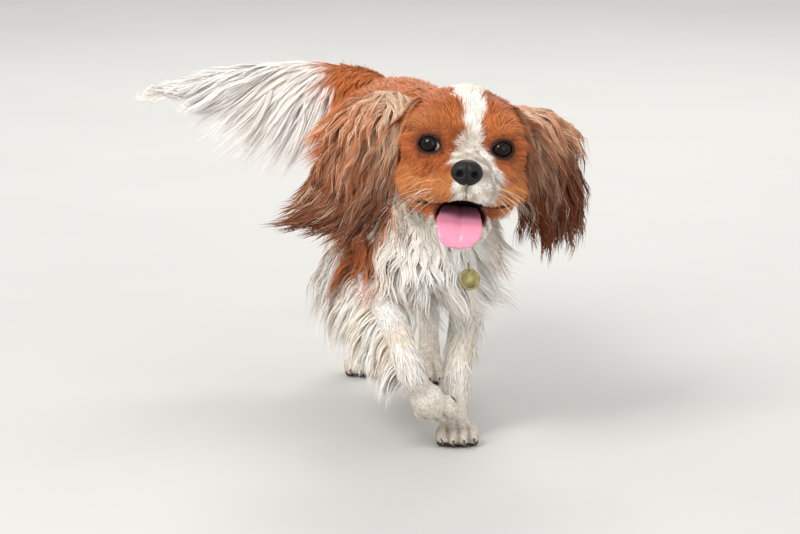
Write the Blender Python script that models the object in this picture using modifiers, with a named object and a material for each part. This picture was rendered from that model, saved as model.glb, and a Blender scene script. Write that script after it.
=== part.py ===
"""Life-size still model of a Cavalier King Charles spaniel at an easy trot, one fore paw lifted.

The dog faces -Y and its left side is +X. Sizes are metres, and the floor is at z = 0. Bodies are lofts
through named stations, joined and smoothed, then parted into the pieces that a person would name.
"""

import math

import bmesh
import bpy
import numpy as np
from mathutils import Euler, Matrix, Vector
from mathutils.bvhtree import BVHTree

# The gap that neighbouring pieces keep, and the shift that centres the whole on the origin.
GAP = 0.0003
CUT_GAP = 0.0004
SHIFT = Vector((0.0510, -0.0910, 0.0))

# The head's own frame: its origin lies between the eyes, and it looks along its own -Y.
HEAD_AT = Vector((0.0085, -0.128, 0.2625))
HEAD_TURN = Euler((math.radians(-9), math.radians(4.5), math.radians(-6)), "XYZ")
EYE_APART = 0.0280
EYE_RADIUS = 0.0098
EYE_DEPTH = 0.0078
EYE_SPLAY = math.radians(12)
LID_THICK = 0.0016
LID_OPENING = (0.0080, 0.0068)
LID_REACH = 0.03

# Stations of each loft: x, y, z of the middle, then half the width and half the height.
TRUNK = (
    (-0.006, -0.050, 0.160, 0.026, 0.034),
    (-0.006, -0.036, 0.168, 0.046, 0.056),
    (-0.006, 0.000, 0.187, 0.058, 0.076),
    (-0.005, 0.045, 0.198, 0.063, 0.086),
    (-0.003, 0.090, 0.204, 0.065, 0.087),
    (-0.001, 0.140, 0.206, 0.064, 0.082),
    (0.001, 0.190, 0.207, 0.060, 0.074),
    (0.003, 0.240, 0.209, 0.057, 0.067),
    (0.004, 0.275, 0.210, 0.050, 0.058),
    (0.005, 0.300, 0.212, 0.030, 0.038),
)
NECK = (
    (-0.004, 0.060, 0.228, 0.052, 0.062),
    (-0.001, 0.020, 0.236, 0.050, 0.060),
    (0.003, -0.020, 0.245, 0.046, 0.054),
    (0.006, -0.055, 0.251, 0.042, 0.045),
    (0.007, -0.080, 0.256, 0.036, 0.038),
)
TAIL = (
    (0.004, 0.280, 0.246, 0.0140, 0.0140),
    (-0.002, 0.300, 0.254, 0.0135, 0.0135),
    (-0.018, 0.318, 0.260, 0.0130, 0.0130),
    (-0.042, 0.328, 0.263, 0.0120, 0.0120),
    (-0.075, 0.334, 0.264, 0.0105, 0.0105),
    (-0.112, 0.338, 0.262, 0.0090, 0.0090),
    (-0.150, 0.341, 0.257, 0.0070, 0.0070),
    (-0.185, 0.342, 0.250, 0.0050, 0.0050),
    (-0.203, 0.342, 0.245, 0.0030, 0.0030),
)
FORELEG_LEFT = (
    (0.036, 0.032, 0.165, 0.024, 0.032),
    (0.035, 0.026, 0.135, 0.0200, 0.0260),
    (0.032, 0.014, 0.110, 0.0170, 0.0200),
    (0.026, 0.000, 0.082, 0.0155, 0.0170),
    (0.020, -0.011, 0.056, 0.0145, 0.0155),
    (0.018, -0.014, 0.044, 0.0148, 0.0155),
    (0.017, -0.019, 0.020, 0.0140, 0.0150),
)
FORELEG_RIGHT = (
    (-0.048, 0.040, 0.162, 0.024, 0.032),
    (-0.047, 0.024, 0.138, 0.0195, 0.0245),
    (-0.044, -0.008, 0.122, 0.0165, 0.0190),
    (-0.040, -0.040, 0.108, 0.0148, 0.0165),
    (-0.036, -0.066, 0.095, 0.0143, 0.0150),
    (-0.0335, -0.080, 0.084, 0.0143, 0.0145),
    (-0.027, -0.077, 0.068, 0.0135, 0.0140),
    (-0.021, -0.071, 0.058, 0.0130, 0.0135),
)
HIND_LEG_RIGHT = (
    (-0.036, 0.246, 0.172, 0.026, 0.048),
    (-0.038, 0.234, 0.140, 0.0220, 0.0400),
    (-0.036, 0.252, 0.112, 0.0165, 0.0250),
    (-0.031, 0.286, 0.090, 0.0125, 0.0165),
    (-0.028, 0.297, 0.072, 0.0118, 0.0140),
    (-0.024, 0.291, 0.046, 0.0118, 0.0125),
    (-0.021, 0.283, 0.020, 0.0130, 0.0140),
)
HIND_LEG_LEFT = (
    (0.042, 0.236, 0.172, 0.026, 0.048),
    (0.046, 0.216, 0.138, 0.0220, 0.0380),
    (0.045, 0.230, 0.108, 0.0165, 0.0250),
    (0.041, 0.257, 0.084, 0.0125, 0.0165),
    (0.038, 0.262, 0.066, 0.0118, 0.0140),
    (0.035, 0.251, 0.042, 0.0118, 0.0125),
    (0.034, 0.243, 0.020, 0.0130, 0.0140),
)
EAR_RIGHT = (
    (-0.034, -0.052, 0.286, 0.014, 0.0045),
    (-0.046, -0.048, 0.280, 0.021, 0.0048),
    (-0.058, -0.043, 0.264, 0.027, 0.0048),
    (-0.067, -0.038, 0.243, 0.030, 0.0045),
    (-0.072, -0.035, 0.221, 0.028, 0.0040),
    (-0.074, -0.033, 0.200, 0.018, 0.0032),
)
EAR_LEFT = (
    (0.058, -0.052, 0.274, 0.012, 0.0045),
    (0.070, -0.048, 0.268, 0.017, 0.0050),
    (0.081, -0.045, 0.252, 0.021, 0.0050),
    (0.088, -0.043, 0.232, 0.024, 0.0045),
    (0.091, -0.042, 0.212, 0.023, 0.0040),
    (0.092, -0.042, 0.194, 0.015, 0.0032),
)

# Rounded masses that fill out the lofts: middle, then half sizes.
SHOULDERS = (
    ((-0.042, 0.018, 0.172), (0.028, 0.044, 0.062)),
    ((0.034, 0.022, 0.172), (0.028, 0.044, 0.062)),
)
HAUNCHES = (
    ((-0.034, 0.246, 0.178), (0.030, 0.048, 0.058)),
    ((0.040, 0.236, 0.178), (0.030, 0.048, 0.058)),
)

# Rows of locks on each piece: first and last root, how many, the lie at both ends of the row, the
# length at both ends, and the width. A root moves to the piece's own surface.
ROWS = {
    "ear_right": (
        (
            (-0.034, -0.062, 0.284), (-0.06, -0.054, 0.282),
            3, (-0.5, -0.1, -0.8), (-0.9, 0.1, -0.35), 0.042, 0.045, 0.015,
        ),
        (
            (-0.04, -0.062, 0.262), (-0.09, -0.042, 0.264),
            5, (0.05, -0.1, -1), (-0.95, 0.25, -0.4), 0.052, 0.052, 0.016,
        ),
        (
            (-0.046, -0.056, 0.236), (-0.102, -0.032, 0.24),
            5, (0.1, -0.1, -1), (-0.9, 0.25, -0.5), 0.058, 0.054, 0.017,
        ),
        (
            (-0.054, -0.05, 0.212), (-0.1, -0.028, 0.214),
            5, (0.1, -0.05, -1), (-0.5, 0.15, -0.85), 0.054, 0.046, 0.015,
        ),
        (
            (-0.048, -0.03, 0.246), (-0.096, -0.012, 0.25),
            3, (0.0, 0.05, -1), (-0.9, 0.3, -0.45), 0.062, 0.055, 0.020,
        ),
        (
            (-0.06, -0.03, 0.214), (-0.092, -0.02, 0.216),
            3, (0.0, 0.05, -1), (-0.4, 0.2, -0.9), 0.05, 0.046, 0.016,
        ),
    ),
    "ear_left": (
        (
            (0.062, -0.062, 0.276), (0.08, -0.058, 0.27),
            2, (0.3, -0.1, -0.9), (0.8, -0.05, -0.6), 0.042, 0.042, 0.014,
        ),
        (
            (0.064, -0.058, 0.254), (0.102, -0.052, 0.252),
            4, (-0.15, -0.1, -1), (0.75, -0.05, -0.7), 0.054, 0.052, 0.015,
        ),
        (
            (0.068, -0.054, 0.228), (0.112, -0.046, 0.228),
            5, (-0.2, -0.1, -1), (0.55, -0.05, -0.85), 0.056, 0.05, 0.015,
        ),
        (
            (0.074, -0.05, 0.204), (0.108, -0.044, 0.206),
            4, (-0.15, -0.05, -1), (0.15, 0.0, -1), 0.048, 0.046, 0.014,
        ),
        (
            (0.07, -0.034, 0.24), (0.106, -0.034, 0.24),
            4, (-0.1, 0.05, -1), (0.65, 0.1, -0.75), 0.062, 0.056, 0.016,
        ),
    ),
    "tail": (
        (
            (-0.014, 0.312, 0.252), (-0.08, 0.334, 0.256),
            4, (-0.4, 0.0, -1), (-0.75, 0.0, -0.85), 0.044, 0.074, 0.019,
        ),
        (
            (-0.092, 0.336, 0.254), (-0.204, 0.342, 0.244),
            5, (-0.75, 0.0, -0.85), (-1, 0.0, -0.22), 0.076, 0.060, 0.020,
        ),
        (
            (-0.024, 0.312, 0.262), (-0.175, 0.334, 0.256),
            6, (-0.85, -0.05, -0.5), (-1, -0.05, -0.3), 0.056, 0.052, 0.020,
        ),
        (
            (-0.03, 0.34, 0.262), (-0.175, 0.35, 0.256),
            5, (-0.85, 0.1, -0.5), (-1, 0.05, -0.3), 0.056, 0.052, 0.020,
        ),
        (
            (-0.04, 0.33, 0.276), (-0.18, 0.342, 0.26),
            4, (-1, 0.0, 0.05), (-1, 0.0, 0.0), 0.054, 0.05, 0.018,
        ),
    ),
    "torso": (
        (
            (-0.052, -0.04, 0.168), (-0.032, -0.065, 0.142),
            3, (-0.3, -0.1, -1), (-0.15, -0.1, -1), 0.044, 0.044, 0.016,
        ),
        (
            (-0.034, -0.072, 0.132), (0.032, -0.072, 0.132),
            5, (-0.2, -0.1, -1), (0.2, -0.1, -1), 0.046, 0.042, 0.016,
        ),
        (
            (-0.028, -0.055, 0.12), (0.022, -0.055, 0.118),
            4, (-0.1, 0.1, -1), (0.1, 0.1, -1), 0.034, 0.032, 0.015,
        ),
        (
            (-0.03, 0.06, 0.114), (-0.034, 0.2, 0.136),
            5, (-0.1, 0.9, -0.35), (-0.1, 0.9, -0.3), 0.056, 0.044, 0.022,
        ),
        (
            (0.024, 0.06, 0.114), (0.03, 0.19, 0.136),
            5, (0.1, 0.9, -0.35), (0.1, 0.9, -0.3), 0.056, 0.044, 0.022,
        ),
        (
            (0.036, -0.060, 0.142), (0.050, -0.036, 0.166),
            2, (0.1, -0.1, -1), (0.25, -0.1, -1), 0.040, 0.040, 0.016,
        ),
        (
            (-0.036, 0.3, 0.215), (0.04, 0.295, 0.215),
            5, (-0.1, 0.25, -1), (0.1, 0.25, -1), 0.056, 0.056, 0.018,
        ),
    ),
    "neck": (
        (
            (-0.046, -0.06, 0.216), (0.044, -0.07, 0.212),
            6, (-0.3, -0.1, -1), (0.3, -0.1, -1), 0.04, 0.038, 0.016,
        ),
        (
            (-0.036, -0.085, 0.186), (0.032, -0.085, 0.184),
            5, (-0.2, -0.1, -1), (0.2, -0.1, -1), 0.044, 0.036, 0.016,
        ),
        (
            (-0.03, -0.09, 0.162), (-0.008, -0.09, 0.158),
            2, (-0.15, -0.1, -1), (0.1, -0.1, -1), 0.048, 0.044, 0.015,
        ),
    ),
    "foreleg_right": (
        (
            (-0.062, 0.052, 0.136), (-0.048, -0.03, 0.104),
            5, (-0.6, 0.4, -0.7), (-0.25, 0.35, -0.9), 0.056, 0.042, 0.015,
        ),
        (
            (-0.046, 0.04, 0.116), (-0.034, -0.06, 0.088),
            6, (-0.35, 0.35, -0.9), (-0.1, 0.4, -0.9), 0.052, 0.028, 0.014,
        ),
    ),
    "foreleg_left": (
        (
            (0.034, 0.056, 0.132), (0.019, 0.004, 0.046),
            6, (0.2, 0.7, -0.75), (0.05, 0.6, -0.8), 0.042, 0.018, 0.013,
        ),
    ),
    "hind_leg_right": (
        (
            (-0.046, 0.29, 0.16), (-0.032, 0.304, 0.094),
            5, (-0.25, 0.3, -1), (-0.1, 0.3, -1), 0.05, 0.03, 0.015,
        ),
        (
            (-0.058, 0.24, 0.15), (-0.05, 0.262, 0.118),
            3, (-0.25, 0.4, -1), (-0.2, 0.4, -1), 0.042, 0.034, 0.015,
        ),
    ),
    "hind_leg_left": (
        (
            (0.05, 0.275, 0.158), (0.044, 0.276, 0.09),
            5, (0.2, 0.3, -1), (0.1, 0.3, -1), 0.048, 0.03, 0.015,
        ),
        (
            (0.066, 0.224, 0.148), (0.06, 0.246, 0.116),
            2, (0.25, 0.4, -1), (0.2, 0.4, -1), 0.04, 0.034, 0.015,
        ),
    ),
}
LOCK_STEPS = 4
LOCK_WIDTHS = (0.70, 1.00, 0.92, 0.60)
LOCK_FLATNESS = 0.22
LOCK_SINK = 0.0022
LOCK_LIFT = 0.0045
LOCK_DROOP = 0.55
LOCK_WAVE = 0.35
LOCK_CLEAR = 0.0007
LOCK_TRIES = 7
FLOOR_CLEAR = 0.004

# The head's masses in its own frame: skull, then pairs for cheek, brow, cheekbone, orbit and lips.
SKULL = (
    ((0.000, 0.046, 0.004), (0.051, 0.050, 0.046)),
    ((0.000, 0.028, 0.008), (0.045, 0.034, 0.036)),
)
HEAD_PAIRS = (
    ((0.029, 0.034, -0.024), (0.022, 0.036, 0.031)),
    ((0.025, 0.012, 0.013), (0.018, 0.017, 0.014)),
    ((0.025, 0.010, -0.015), (0.018, 0.019, 0.016)),
    ((0.038, 0.020, -0.001), (0.012, 0.018, 0.018)),
    ((0.0120, -0.020, -0.0335), (0.0150, 0.0180, 0.0130)),
    ((0.0180, -0.002, -0.0365), (0.0160, 0.0240, 0.0145)),
)
MUZZLE = (
    (0.000, 0.018, -0.0200, 0.0290, 0.0240),
    (0.000, 0.004, -0.0230, 0.0275, 0.0215),
    (0.000, -0.012, -0.0260, 0.0250, 0.0190),
    (0.000, -0.026, -0.0280, 0.0225, 0.0165),
    (0.000, -0.035, -0.0295, 0.0175, 0.0135),
)
MOUTH = ((0, 0.000, -0.054), (0.0200, 0.0380, 0.0140))
PHILTRUM = ((0, -0.0400, -0.0360), (0.0006, 0.0060, 0.0075))
NOSE_AT = (0.000, -0.0350, -0.0215)
NOSE_SIZE = (0.0128, 0.0085, 0.0108)
NOSTRIL_APART = 0.0058
NOSTRIL_SIZE = (0.0024, 0.0034, 0.0028)
JAW = (
    (0.000, 0.070, -0.034, 0.018, 0.011),
    (0.000, 0.048, -0.043, 0.029, 0.018),
    (0.000, 0.026, -0.0545, 0.029, 0.0155),
    (0.000, 0.004, -0.0640, 0.0245, 0.0120),
    (0.000, -0.012, -0.0700, 0.0190, 0.0100),
    (0.000, -0.022, -0.0720, 0.0130, 0.0075),
)
TONGUE = (
    (0.000, 0.020, -0.050, 0.0140, 0.0030),
    (-0.001, -0.001, -0.056, 0.0165, 0.0032),
    (-0.002, -0.017, -0.0615, 0.0180, 0.0032),
    (-0.002, -0.0265, -0.0660, 0.0178, 0.0030),
    (-0.003, -0.0315, -0.0730, 0.0160, 0.0026),
    (-0.003, -0.0330, -0.0800, 0.0100, 0.0020),
)

# The four paws: middle of the sole, where the toes point, and where the sole faces.
PAWS = {
    "fore_paw_left": ((0.017, -0.026, 0.000), (-0.07, -1.0, 0.0), (0, 0, -1)),
    "fore_paw_right": ((-0.008, -0.056, 0.050), (0.45, 0.47, -0.76), (0.30, 0.75, 0.45)),
    "hind_paw_right": ((-0.021, 0.272, 0.000), (-0.05, -1.0, 0.0), (0, 0, -1)),
    "hind_paw_left": ((0.033, 0.230, 0.000), (0.03, -1.0, 0.0), (0, 0, -1)),
}
PAW_HALF_WIDTH = 0.0175
PAW_HALF_LENGTH = 0.0250
PAW_HEIGHT = 0.0260
SOLE_CUT = 0.0022

# The plane where the neck leaves the torso, under the collar.
COLLAR_AT = Vector((0.0, -0.012, 0.222))
COLLAR_FACING = Vector((0.0, -0.80, 0.60))
COLLAR_WIDTH = 0.011
COLLAR_THICK = 0.0020
COLLAR_LIFT = 0.0016

TAG_AT = Vector((0.020, -0.0755, 0.146))
TAG_FACING = Vector((0.10, -0.90, 0.25))
TAG_RADIUS = 0.0085
TAG_THICK = 0.0016

CHESTNUT = (0.33, 0.10, 0.025)
DARK_CHESTNUT = (0.20, 0.055, 0.015)
CREAM = (0.80, 0.72, 0.60)
BLACK_SKIN = (0.020, 0.015, 0.013)
EYE_BROWN = (0.025, 0.010, 0.006)
TONGUE_PINK = (0.80, 0.25, 0.32)
OLIVE = (0.35, 0.31, 0.06)
BRASS = (0.60, 0.50, 0.22)

RING_SIDES = 16
SEED = 7


def head_matrix():
    return Matrix.Translation(HEAD_AT) @ HEAD_TURN.to_matrix().to_4x4()


def material(name, colour, roughness, metallic=0.0):
    """The material of that name, made at its first use."""
    made = bpy.data.materials.get(name)
    if made is None:
        made = bpy.data.materials.new(name)
        made.use_nodes = True
        shader = made.node_tree.nodes["Principled BSDF"]
        shader.inputs["Base Color"].default_value = (*colour, 1)
        shader.inputs["Roughness"].default_value = roughness
        shader.inputs["Metallic"].default_value = metallic
    return made


def new_object(name, mesh_builder, collection):
    """An object around what is in the bmesh, in triangles, linked to the collection."""
    mesh = bpy.data.meshes.new(name)
    bmesh.ops.recalc_face_normals(mesh_builder, faces=mesh_builder.faces)
    bmesh.ops.triangulate(mesh_builder, faces=mesh_builder.faces)
    mesh_builder.to_mesh(mesh)
    mesh_builder.free()
    made = bpy.data.objects.new(name, mesh)
    collection.objects.link(made)
    return made


def ellipsoid(middle, half_sizes, collection, segments=24, rings=14, turn=None):
    """A closed ball stretched to the half sizes."""
    builder = bmesh.new()
    bmesh.ops.create_uvsphere(builder, u_segments=segments, v_segments=rings, radius=1.0)
    matrix = Matrix.Translation(middle)
    if turn is not None:
        matrix = matrix @ turn.to_matrix().to_4x4()
    matrix = matrix @ Matrix.Diagonal((*half_sizes, 1))
    bmesh.ops.transform(builder, matrix=matrix, verts=builder.verts)
    return new_object("ball", builder, collection)


def loft(stations, side, collection, sides=RING_SIDES, bow=0.0):
    """A closed skin over ellipses at the stations, each square to the path, its width along side.

    bow bends each ellipse along its width, by that share of the half width at its edges.
    """
    middles = [Vector(station[:3]) for station in stations]
    builder = bmesh.new()
    rings = []
    for index, station in enumerate(stations):
        before = middles[max(index - 1, 0)]
        after = middles[min(index + 1, len(middles) - 1)]
        along = (after - before).normalized()
        across = (Vector(side) - along * along.dot(Vector(side))).normalized()
        upward = along.cross(across)
        ring = []
        for step in range(sides):
            angle = math.tau * step / sides
            wide = math.cos(angle) * station[3]
            high = math.sin(angle) * station[4] + bow * station[3] * math.cos(angle) ** 2
            ring.append(builder.verts.new(middles[index] + across * wide + upward * high))
        rings.append(ring)
    for first, second in zip(rings, rings[1:]):
        for step in range(sides):
            following = (step + 1) % sides
            builder.faces.new((first[step], first[following], second[following], second[step]))
    for end, inward in ((0, 1), (-1, -2)):
        reach = (middles[end] - middles[inward]).normalized() * stations[end][4] * 0.5
        tip = builder.verts.new(middles[end] + reach)
        for step in range(sides):
            following = (step + 1) % sides
            builder.faces.new((rings[end][step], rings[end][following], tip))
    return new_object("loft", builder, collection)


def spline_stations(stations, count):
    """The stations read again at count places along a smooth curve through them."""
    points = np.array(stations, float)
    steps = np.linalg.norm(np.diff(points[:, :3], axis=0), axis=1)
    at = np.concatenate([[0.0], np.cumsum(steps)])
    slopes = np.gradient(points, at, axis=0)
    found = []
    for place in np.linspace(0.0, at[-1], count):
        index = min(int(np.searchsorted(at, place, side="right")) - 1, len(at) - 2)
        span = at[index + 1] - at[index]
        part = (place - at[index]) / span
        first = (1 + 2 * part) * (1 - part) ** 2 * points[index]
        first += part * (1 - part) ** 2 * span * slopes[index]
        second = part**2 * (3 - 2 * part) * points[index + 1]
        second += part**2 * (part - 1) * span * slopes[index + 1]
        found.append(tuple(first + second))
    return found


def evaluated_mesh(target):
    graph = bpy.context.evaluated_depsgraph_get()
    return bpy.data.meshes.new_from_object(target.evaluated_get(graph))


def apply_modifiers(target):
    """Puts the object's evaluated mesh in place of its own mesh and modifiers."""
    mesh = evaluated_mesh(target)
    target.modifiers.clear()
    old = target.data
    target.data = mesh
    bpy.data.meshes.remove(old)


def remove(things):
    for thing in list(things):
        mesh = thing.data
        bpy.data.objects.remove(thing, do_unlink=True)
        bpy.data.meshes.remove(mesh)


def joined(pieces, collection):
    """One object holding the meshes of the pieces, side by side."""
    builder = bmesh.new()
    for piece in pieces:
        mesh = piece.data.copy()
        mesh.transform(piece.matrix_world)
        builder.from_mesh(mesh)
        bpy.data.meshes.remove(mesh)
    remove(pieces)
    return new_object("joined", builder, collection)


def melted(pieces, voxel, rounds, keep, collection):
    """One smooth skin over the pieces: remeshed in cubes of that size, smoothed, and thinned to a share."""
    whole = joined(pieces, collection)
    remesh = whole.modifiers.new("melt", "REMESH")
    remesh.mode = "VOXEL"
    remesh.voxel_size = voxel
    smooth = whole.modifiers.new("smooth", "SMOOTH")
    smooth.factor = 0.5
    smooth.iterations = rounds
    apply_modifiers(whole)
    if keep < 1:
        thin = whole.modifiers.new("thin", "DECIMATE")
        thin.ratio = keep
        thin.use_collapse_triangulate = True
        apply_modifiers(whole)
    return whole


def boolean(target, others, operation, solver="EXACT"):
    """Joins the closed meshes to the target or cuts them from it, and removes them."""
    helpers = bpy.data.collections.new("helpers")
    bpy.context.scene.collection.children.link(helpers)
    for other in others:
        for holder in list(other.users_collection):
            holder.objects.unlink(other)
        helpers.objects.link(other)
    modifier = target.modifiers.new("join", "BOOLEAN")
    modifier.operand_type = "COLLECTION"
    modifier.collection = helpers
    modifier.operation = operation
    modifier.solver = solver
    bpy.context.view_layer.update()
    apply_modifiers(target)
    remove(others)
    bpy.data.collections.remove(helpers)


def keep_largest(target):
    """Leaves only the closed surface that holds the most volume."""
    builder = bmesh.new()
    builder.from_mesh(target.data)
    builder.faces.ensure_lookup_table()
    left = set(builder.faces)
    shells = []
    while left:
        stack = [left.pop()]
        shell = []
        while stack:
            face = stack.pop()
            shell.append(face)
            for edge in face.edges:
                for other in edge.link_faces:
                    if other in left:
                        left.remove(other)
                        stack.append(other)
        shells.append(shell)
    shells.sort(key=shell_volume)
    for shell in shells[:-1]:
        bmesh.ops.delete(builder, geom=shell, context="FACES")
    loose = [vert for vert in builder.verts if not vert.link_faces]
    bmesh.ops.delete(builder, geom=loose, context="VERTS")
    builder.to_mesh(target.data)
    builder.free()


def shell_volume(shell):
    total = 0.0
    for face in shell:
        corners = [vert.co for vert in face.verts]
        for second, third in zip(corners[1:], corners[2:]):
            total += corners[0].dot(second.cross(third)) / 6
    return total


def swollen(target, by, collection):
    """A copy of the object with its faces moved out by that distance."""
    builder = bmesh.new()
    builder.from_mesh(target.data)
    bmesh.ops.triangulate(builder, faces=builder.faces)
    builder.normal_update()
    moves = [vert.normal * by * min(vert.calc_shell_factor(), 3.0) for vert in builder.verts]
    for vert, move in zip(builder.verts, moves):
        vert.co += move
    mesh = bpy.data.meshes.new("swollen")
    builder.to_mesh(mesh)
    builder.free()
    made = bpy.data.objects.new("swollen", mesh)
    collection.objects.link(made)
    return made


def cut_clear(target, neighbours, collection):
    """Cuts the target back to the gap from each neighbour, and drops the scraps."""
    for neighbour in neighbours:
        boolean(target, [swollen(neighbour, CUT_GAP, collection)], "DIFFERENCE", "MANIFOLD")
    keep_largest(target)


def tree_of(target):
    """A search tree over the object's faces."""
    corners = [vert.co.copy() for vert in target.data.vertices]
    return BVHTree.FromPolygons(corners, [tuple(face.vertices) for face in target.data.polygons])


def is_inside(place, tree):
    """Whether a ray from the place leaves the closed surface an odd number of times."""
    ray = Vector((0.31, 0.17, 0.94))
    crossings = 0
    hit = tree.ray_cast(place, ray)[0]
    while hit is not None:
        crossings += 1
        hit = tree.ray_cast(hit + ray * 1e-6, ray)[0]
    return crossings % 2 == 1


def pushed_out(place, tree, height):
    """The place, moved to stand at least that high over the surface."""
    near, normal, _, distance = tree.find_nearest(place)
    inside = (place - near).dot(normal) < 0 and is_inside(place, tree)
    if distance > height and not inside:
        return place
    if inside or distance < GAP:
        return near + normal * height
    return near + (place - near) / distance * height


def lock_path(root, outward, lie, length, width, phase, own, others):
    """Middles and outward sides of a lock that droops and waves over its own surface, clear of the rest."""
    sideways = lie.cross(outward).normalized()
    middles = [root - outward * LOCK_SINK]
    sides = [outward]
    place = root
    heading = lie.normalized()
    for step in range(1, LOCK_STEPS + 1):
        part = step / LOCK_STEPS
        bend = sideways * math.sin(phase + part * math.tau * 0.75) * LOCK_WAVE
        heading = (heading + Vector((0, 0, -LOCK_DROOP / LOCK_STEPS)) + bend / LOCK_STEPS).normalized()
        following = place + heading * length / LOCK_STEPS
        following = pushed_out(following, own, LOCK_LIFT * part)
        for tree in others:
            following = pushed_out(following, tree, LOCK_CLEAR + width * LOCK_FLATNESS * (1 - part))
        following.z = max(following.z, FLOOR_CLEAR)
        heading = (following - place).normalized()
        _, normal, _, distance = own.find_nearest(following)
        side = (sides[-1] + normal * 0.5).normalized() if distance < length / 2 else sides[-1]
        middles.append(following)
        sides.append((side - heading * side.dot(heading)).normalized())
        place = following
    return middles, sides


def lock_shape(middles, sides, width, spare):
    """Corners and faces of a flat lock, three-sided and tapered to a tip, grown by the spare."""
    corners = []
    for index, share in enumerate(LOCK_WIDTHS):
        ahead = (middles[index + 1] - middles[max(index - 1, 0)]).normalized()
        across = ahead.cross(sides[index]).normalized() * (width * share / 2 + spare)
        upward = sides[index] * (width * share * LOCK_FLATNESS + spare)
        corners += [
            middles[index] - across - sides[index] * spare,
            middles[index] + across - sides[index] * spare,
            middles[index] + upward,
        ]
    corners.append(middles[-1] + (middles[-1] - middles[-2]).normalized() * spare)
    faces = [(0, 1, 2)]
    last = 3 * (len(LOCK_WIDTHS) - 1)
    for first in range(0, last, 3):
        for side in range(3):
            following = (side + 1) % 3
            faces.append((first + side, first + 3 + side, first + 3 + following, first + following))
    for side in range(3):
        faces.append((last + side, len(corners) - 1, last + (side + 1) % 3))
    return corners, faces


def is_clear(middles, sides, width, others):
    """Whether the lock, grown by the clearance, touches none of the other surfaces."""
    corners, faces = lock_shape(middles, sides, width, LOCK_CLEAR)
    tree = BVHTree.FromPolygons(corners, faces)
    return not any(other.overlap(tree) for other in others)


def grow_locks(target, name, neighbours, random, work):
    """Roots rows of locks on the piece, each bent or shortened clear of the neighbours, and joins them."""
    own = tree_of(target)
    others = [tree_of(neighbour) for neighbour in neighbours]
    grown = []
    for first, last, count, first_lie, last_lie, first_length, last_length, wide in ROWS[name]:
        for index in range(count):
            part = (index + random.uniform(0.25, 0.75)) / count
            seed = Vector(first).lerp(Vector(last), part)
            root, outward, _, _ = own.find_nearest(seed)
            lie = Vector(first_lie).lerp(Vector(last_lie), part).normalized()
            lie += Vector(random.normal(0.0, 0.10, 3))
            lie -= outward * min(lie.dot(outward), 0.0)
            length = (first_length * (1 - part) + last_length * part) * random.uniform(0.85, 1.15)
            width = wide * random.uniform(0.85, 1.20)
            phase = random.uniform(0.0, math.tau)
            for _ in range(LOCK_TRIES):
                path = lock_path(root, outward, lie, length, width, phase, own, others)
                if is_clear(*path, width, others):
                    builder = bmesh.new()
                    corners, faces = lock_shape(*path, width, 0.0)
                    made = [builder.verts.new(corner) for corner in corners]
                    for face in faces:
                        builder.faces.new([made[corner] for corner in face])
                    grown.append(new_object("lock", builder, work))
                    break
                length *= 0.82
                width *= 0.94
    boolean(target, grown, "UNION", "MANIFOLD")
    keep_largest(target)


def half_space(at, facing, collection, reach=1.0):
    """A block whose one face lies in the plane, filling the side that facing points to."""
    builder = bmesh.new()
    bmesh.ops.create_cube(builder, size=reach)
    turn = facing.normalized().to_track_quat("Z", "Y").to_matrix().to_4x4()
    matrix = Matrix.Translation(at) @ turn @ Matrix.Translation((0, 0, reach / 2))
    bmesh.ops.transform(builder, matrix=matrix, verts=builder.verts)
    return new_object("block", builder, collection)


def finish(target, name, made_of, collection):
    """Names the piece, gives it its material, and puts it in the model's collection and frame."""
    target.name = name
    target.data.name = name
    for holder in list(target.users_collection):
        holder.objects.unlink(target)
    collection.objects.link(target)
    target.data.transform(Matrix.Translation(SHIFT))
    target.data.materials.clear()
    target.data.materials.append(made_of)
    target.data.shade_smooth()


def body_and_neck(work):
    """The trunk with shoulders, haunches and neck as one skin, parted in the collar's plane."""
    pieces = [loft(spline_stations(TRUNK, 24), (1, 0, 0), work, sides=24)]
    pieces.append(loft(spline_stations(NECK, 10), (1, 0, 0), work, sides=20))
    for middle, half_sizes in SHOULDERS + HAUNCHES:
        pieces.append(ellipsoid(middle, half_sizes, work))
    whole = melted(pieces, voxel=0.0125, rounds=5, keep=0.38, collection=work)
    neck = whole.copy()
    neck.data = whole.data.copy()
    work.objects.link(neck)
    facing = COLLAR_FACING.normalized()
    front = half_space(COLLAR_AT - facing * GAP / 2, facing, work)
    back = half_space(COLLAR_AT + facing * GAP / 2, -facing, work)
    boolean(whole, [front], "DIFFERENCE")
    boolean(neck, [back], "DIFFERENCE")
    return whole, neck


def lid_openings(work):
    """Cutters through which each eye looks out: an oval along the eye's line of sight."""
    cutters = []
    for side in (-1, 1):
        builder = bmesh.new()
        bmesh.ops.create_cone(
            builder, cap_ends=True, segments=16, radius1=1.0, radius2=1.0, depth=LID_REACH
        )
        stretch = Matrix.Diagonal((*LID_OPENING, 1, 1))
        sight = Euler((math.radians(90), 0, side * EYE_SPLAY), "XYZ").to_matrix().to_4x4()
        ahead = Matrix.Translation((0, 0, LID_REACH / 2))
        place = Matrix.Translation((side * EYE_APART, EYE_DEPTH, 0.0))
        bmesh.ops.transform(builder, matrix=place @ sight @ ahead @ stretch, verts=builder.verts)
        cutters.append(new_object("opening", builder, work))
    return cutters


def eye_balls(radius, work, segments=14, rings=8):
    balls = []
    for side in (-1, 1):
        middle = (side * EYE_APART, EYE_DEPTH, 0.0)
        balls.append(ellipsoid(middle, (radius,) * 3, work, segments, rings))
    return balls


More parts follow.
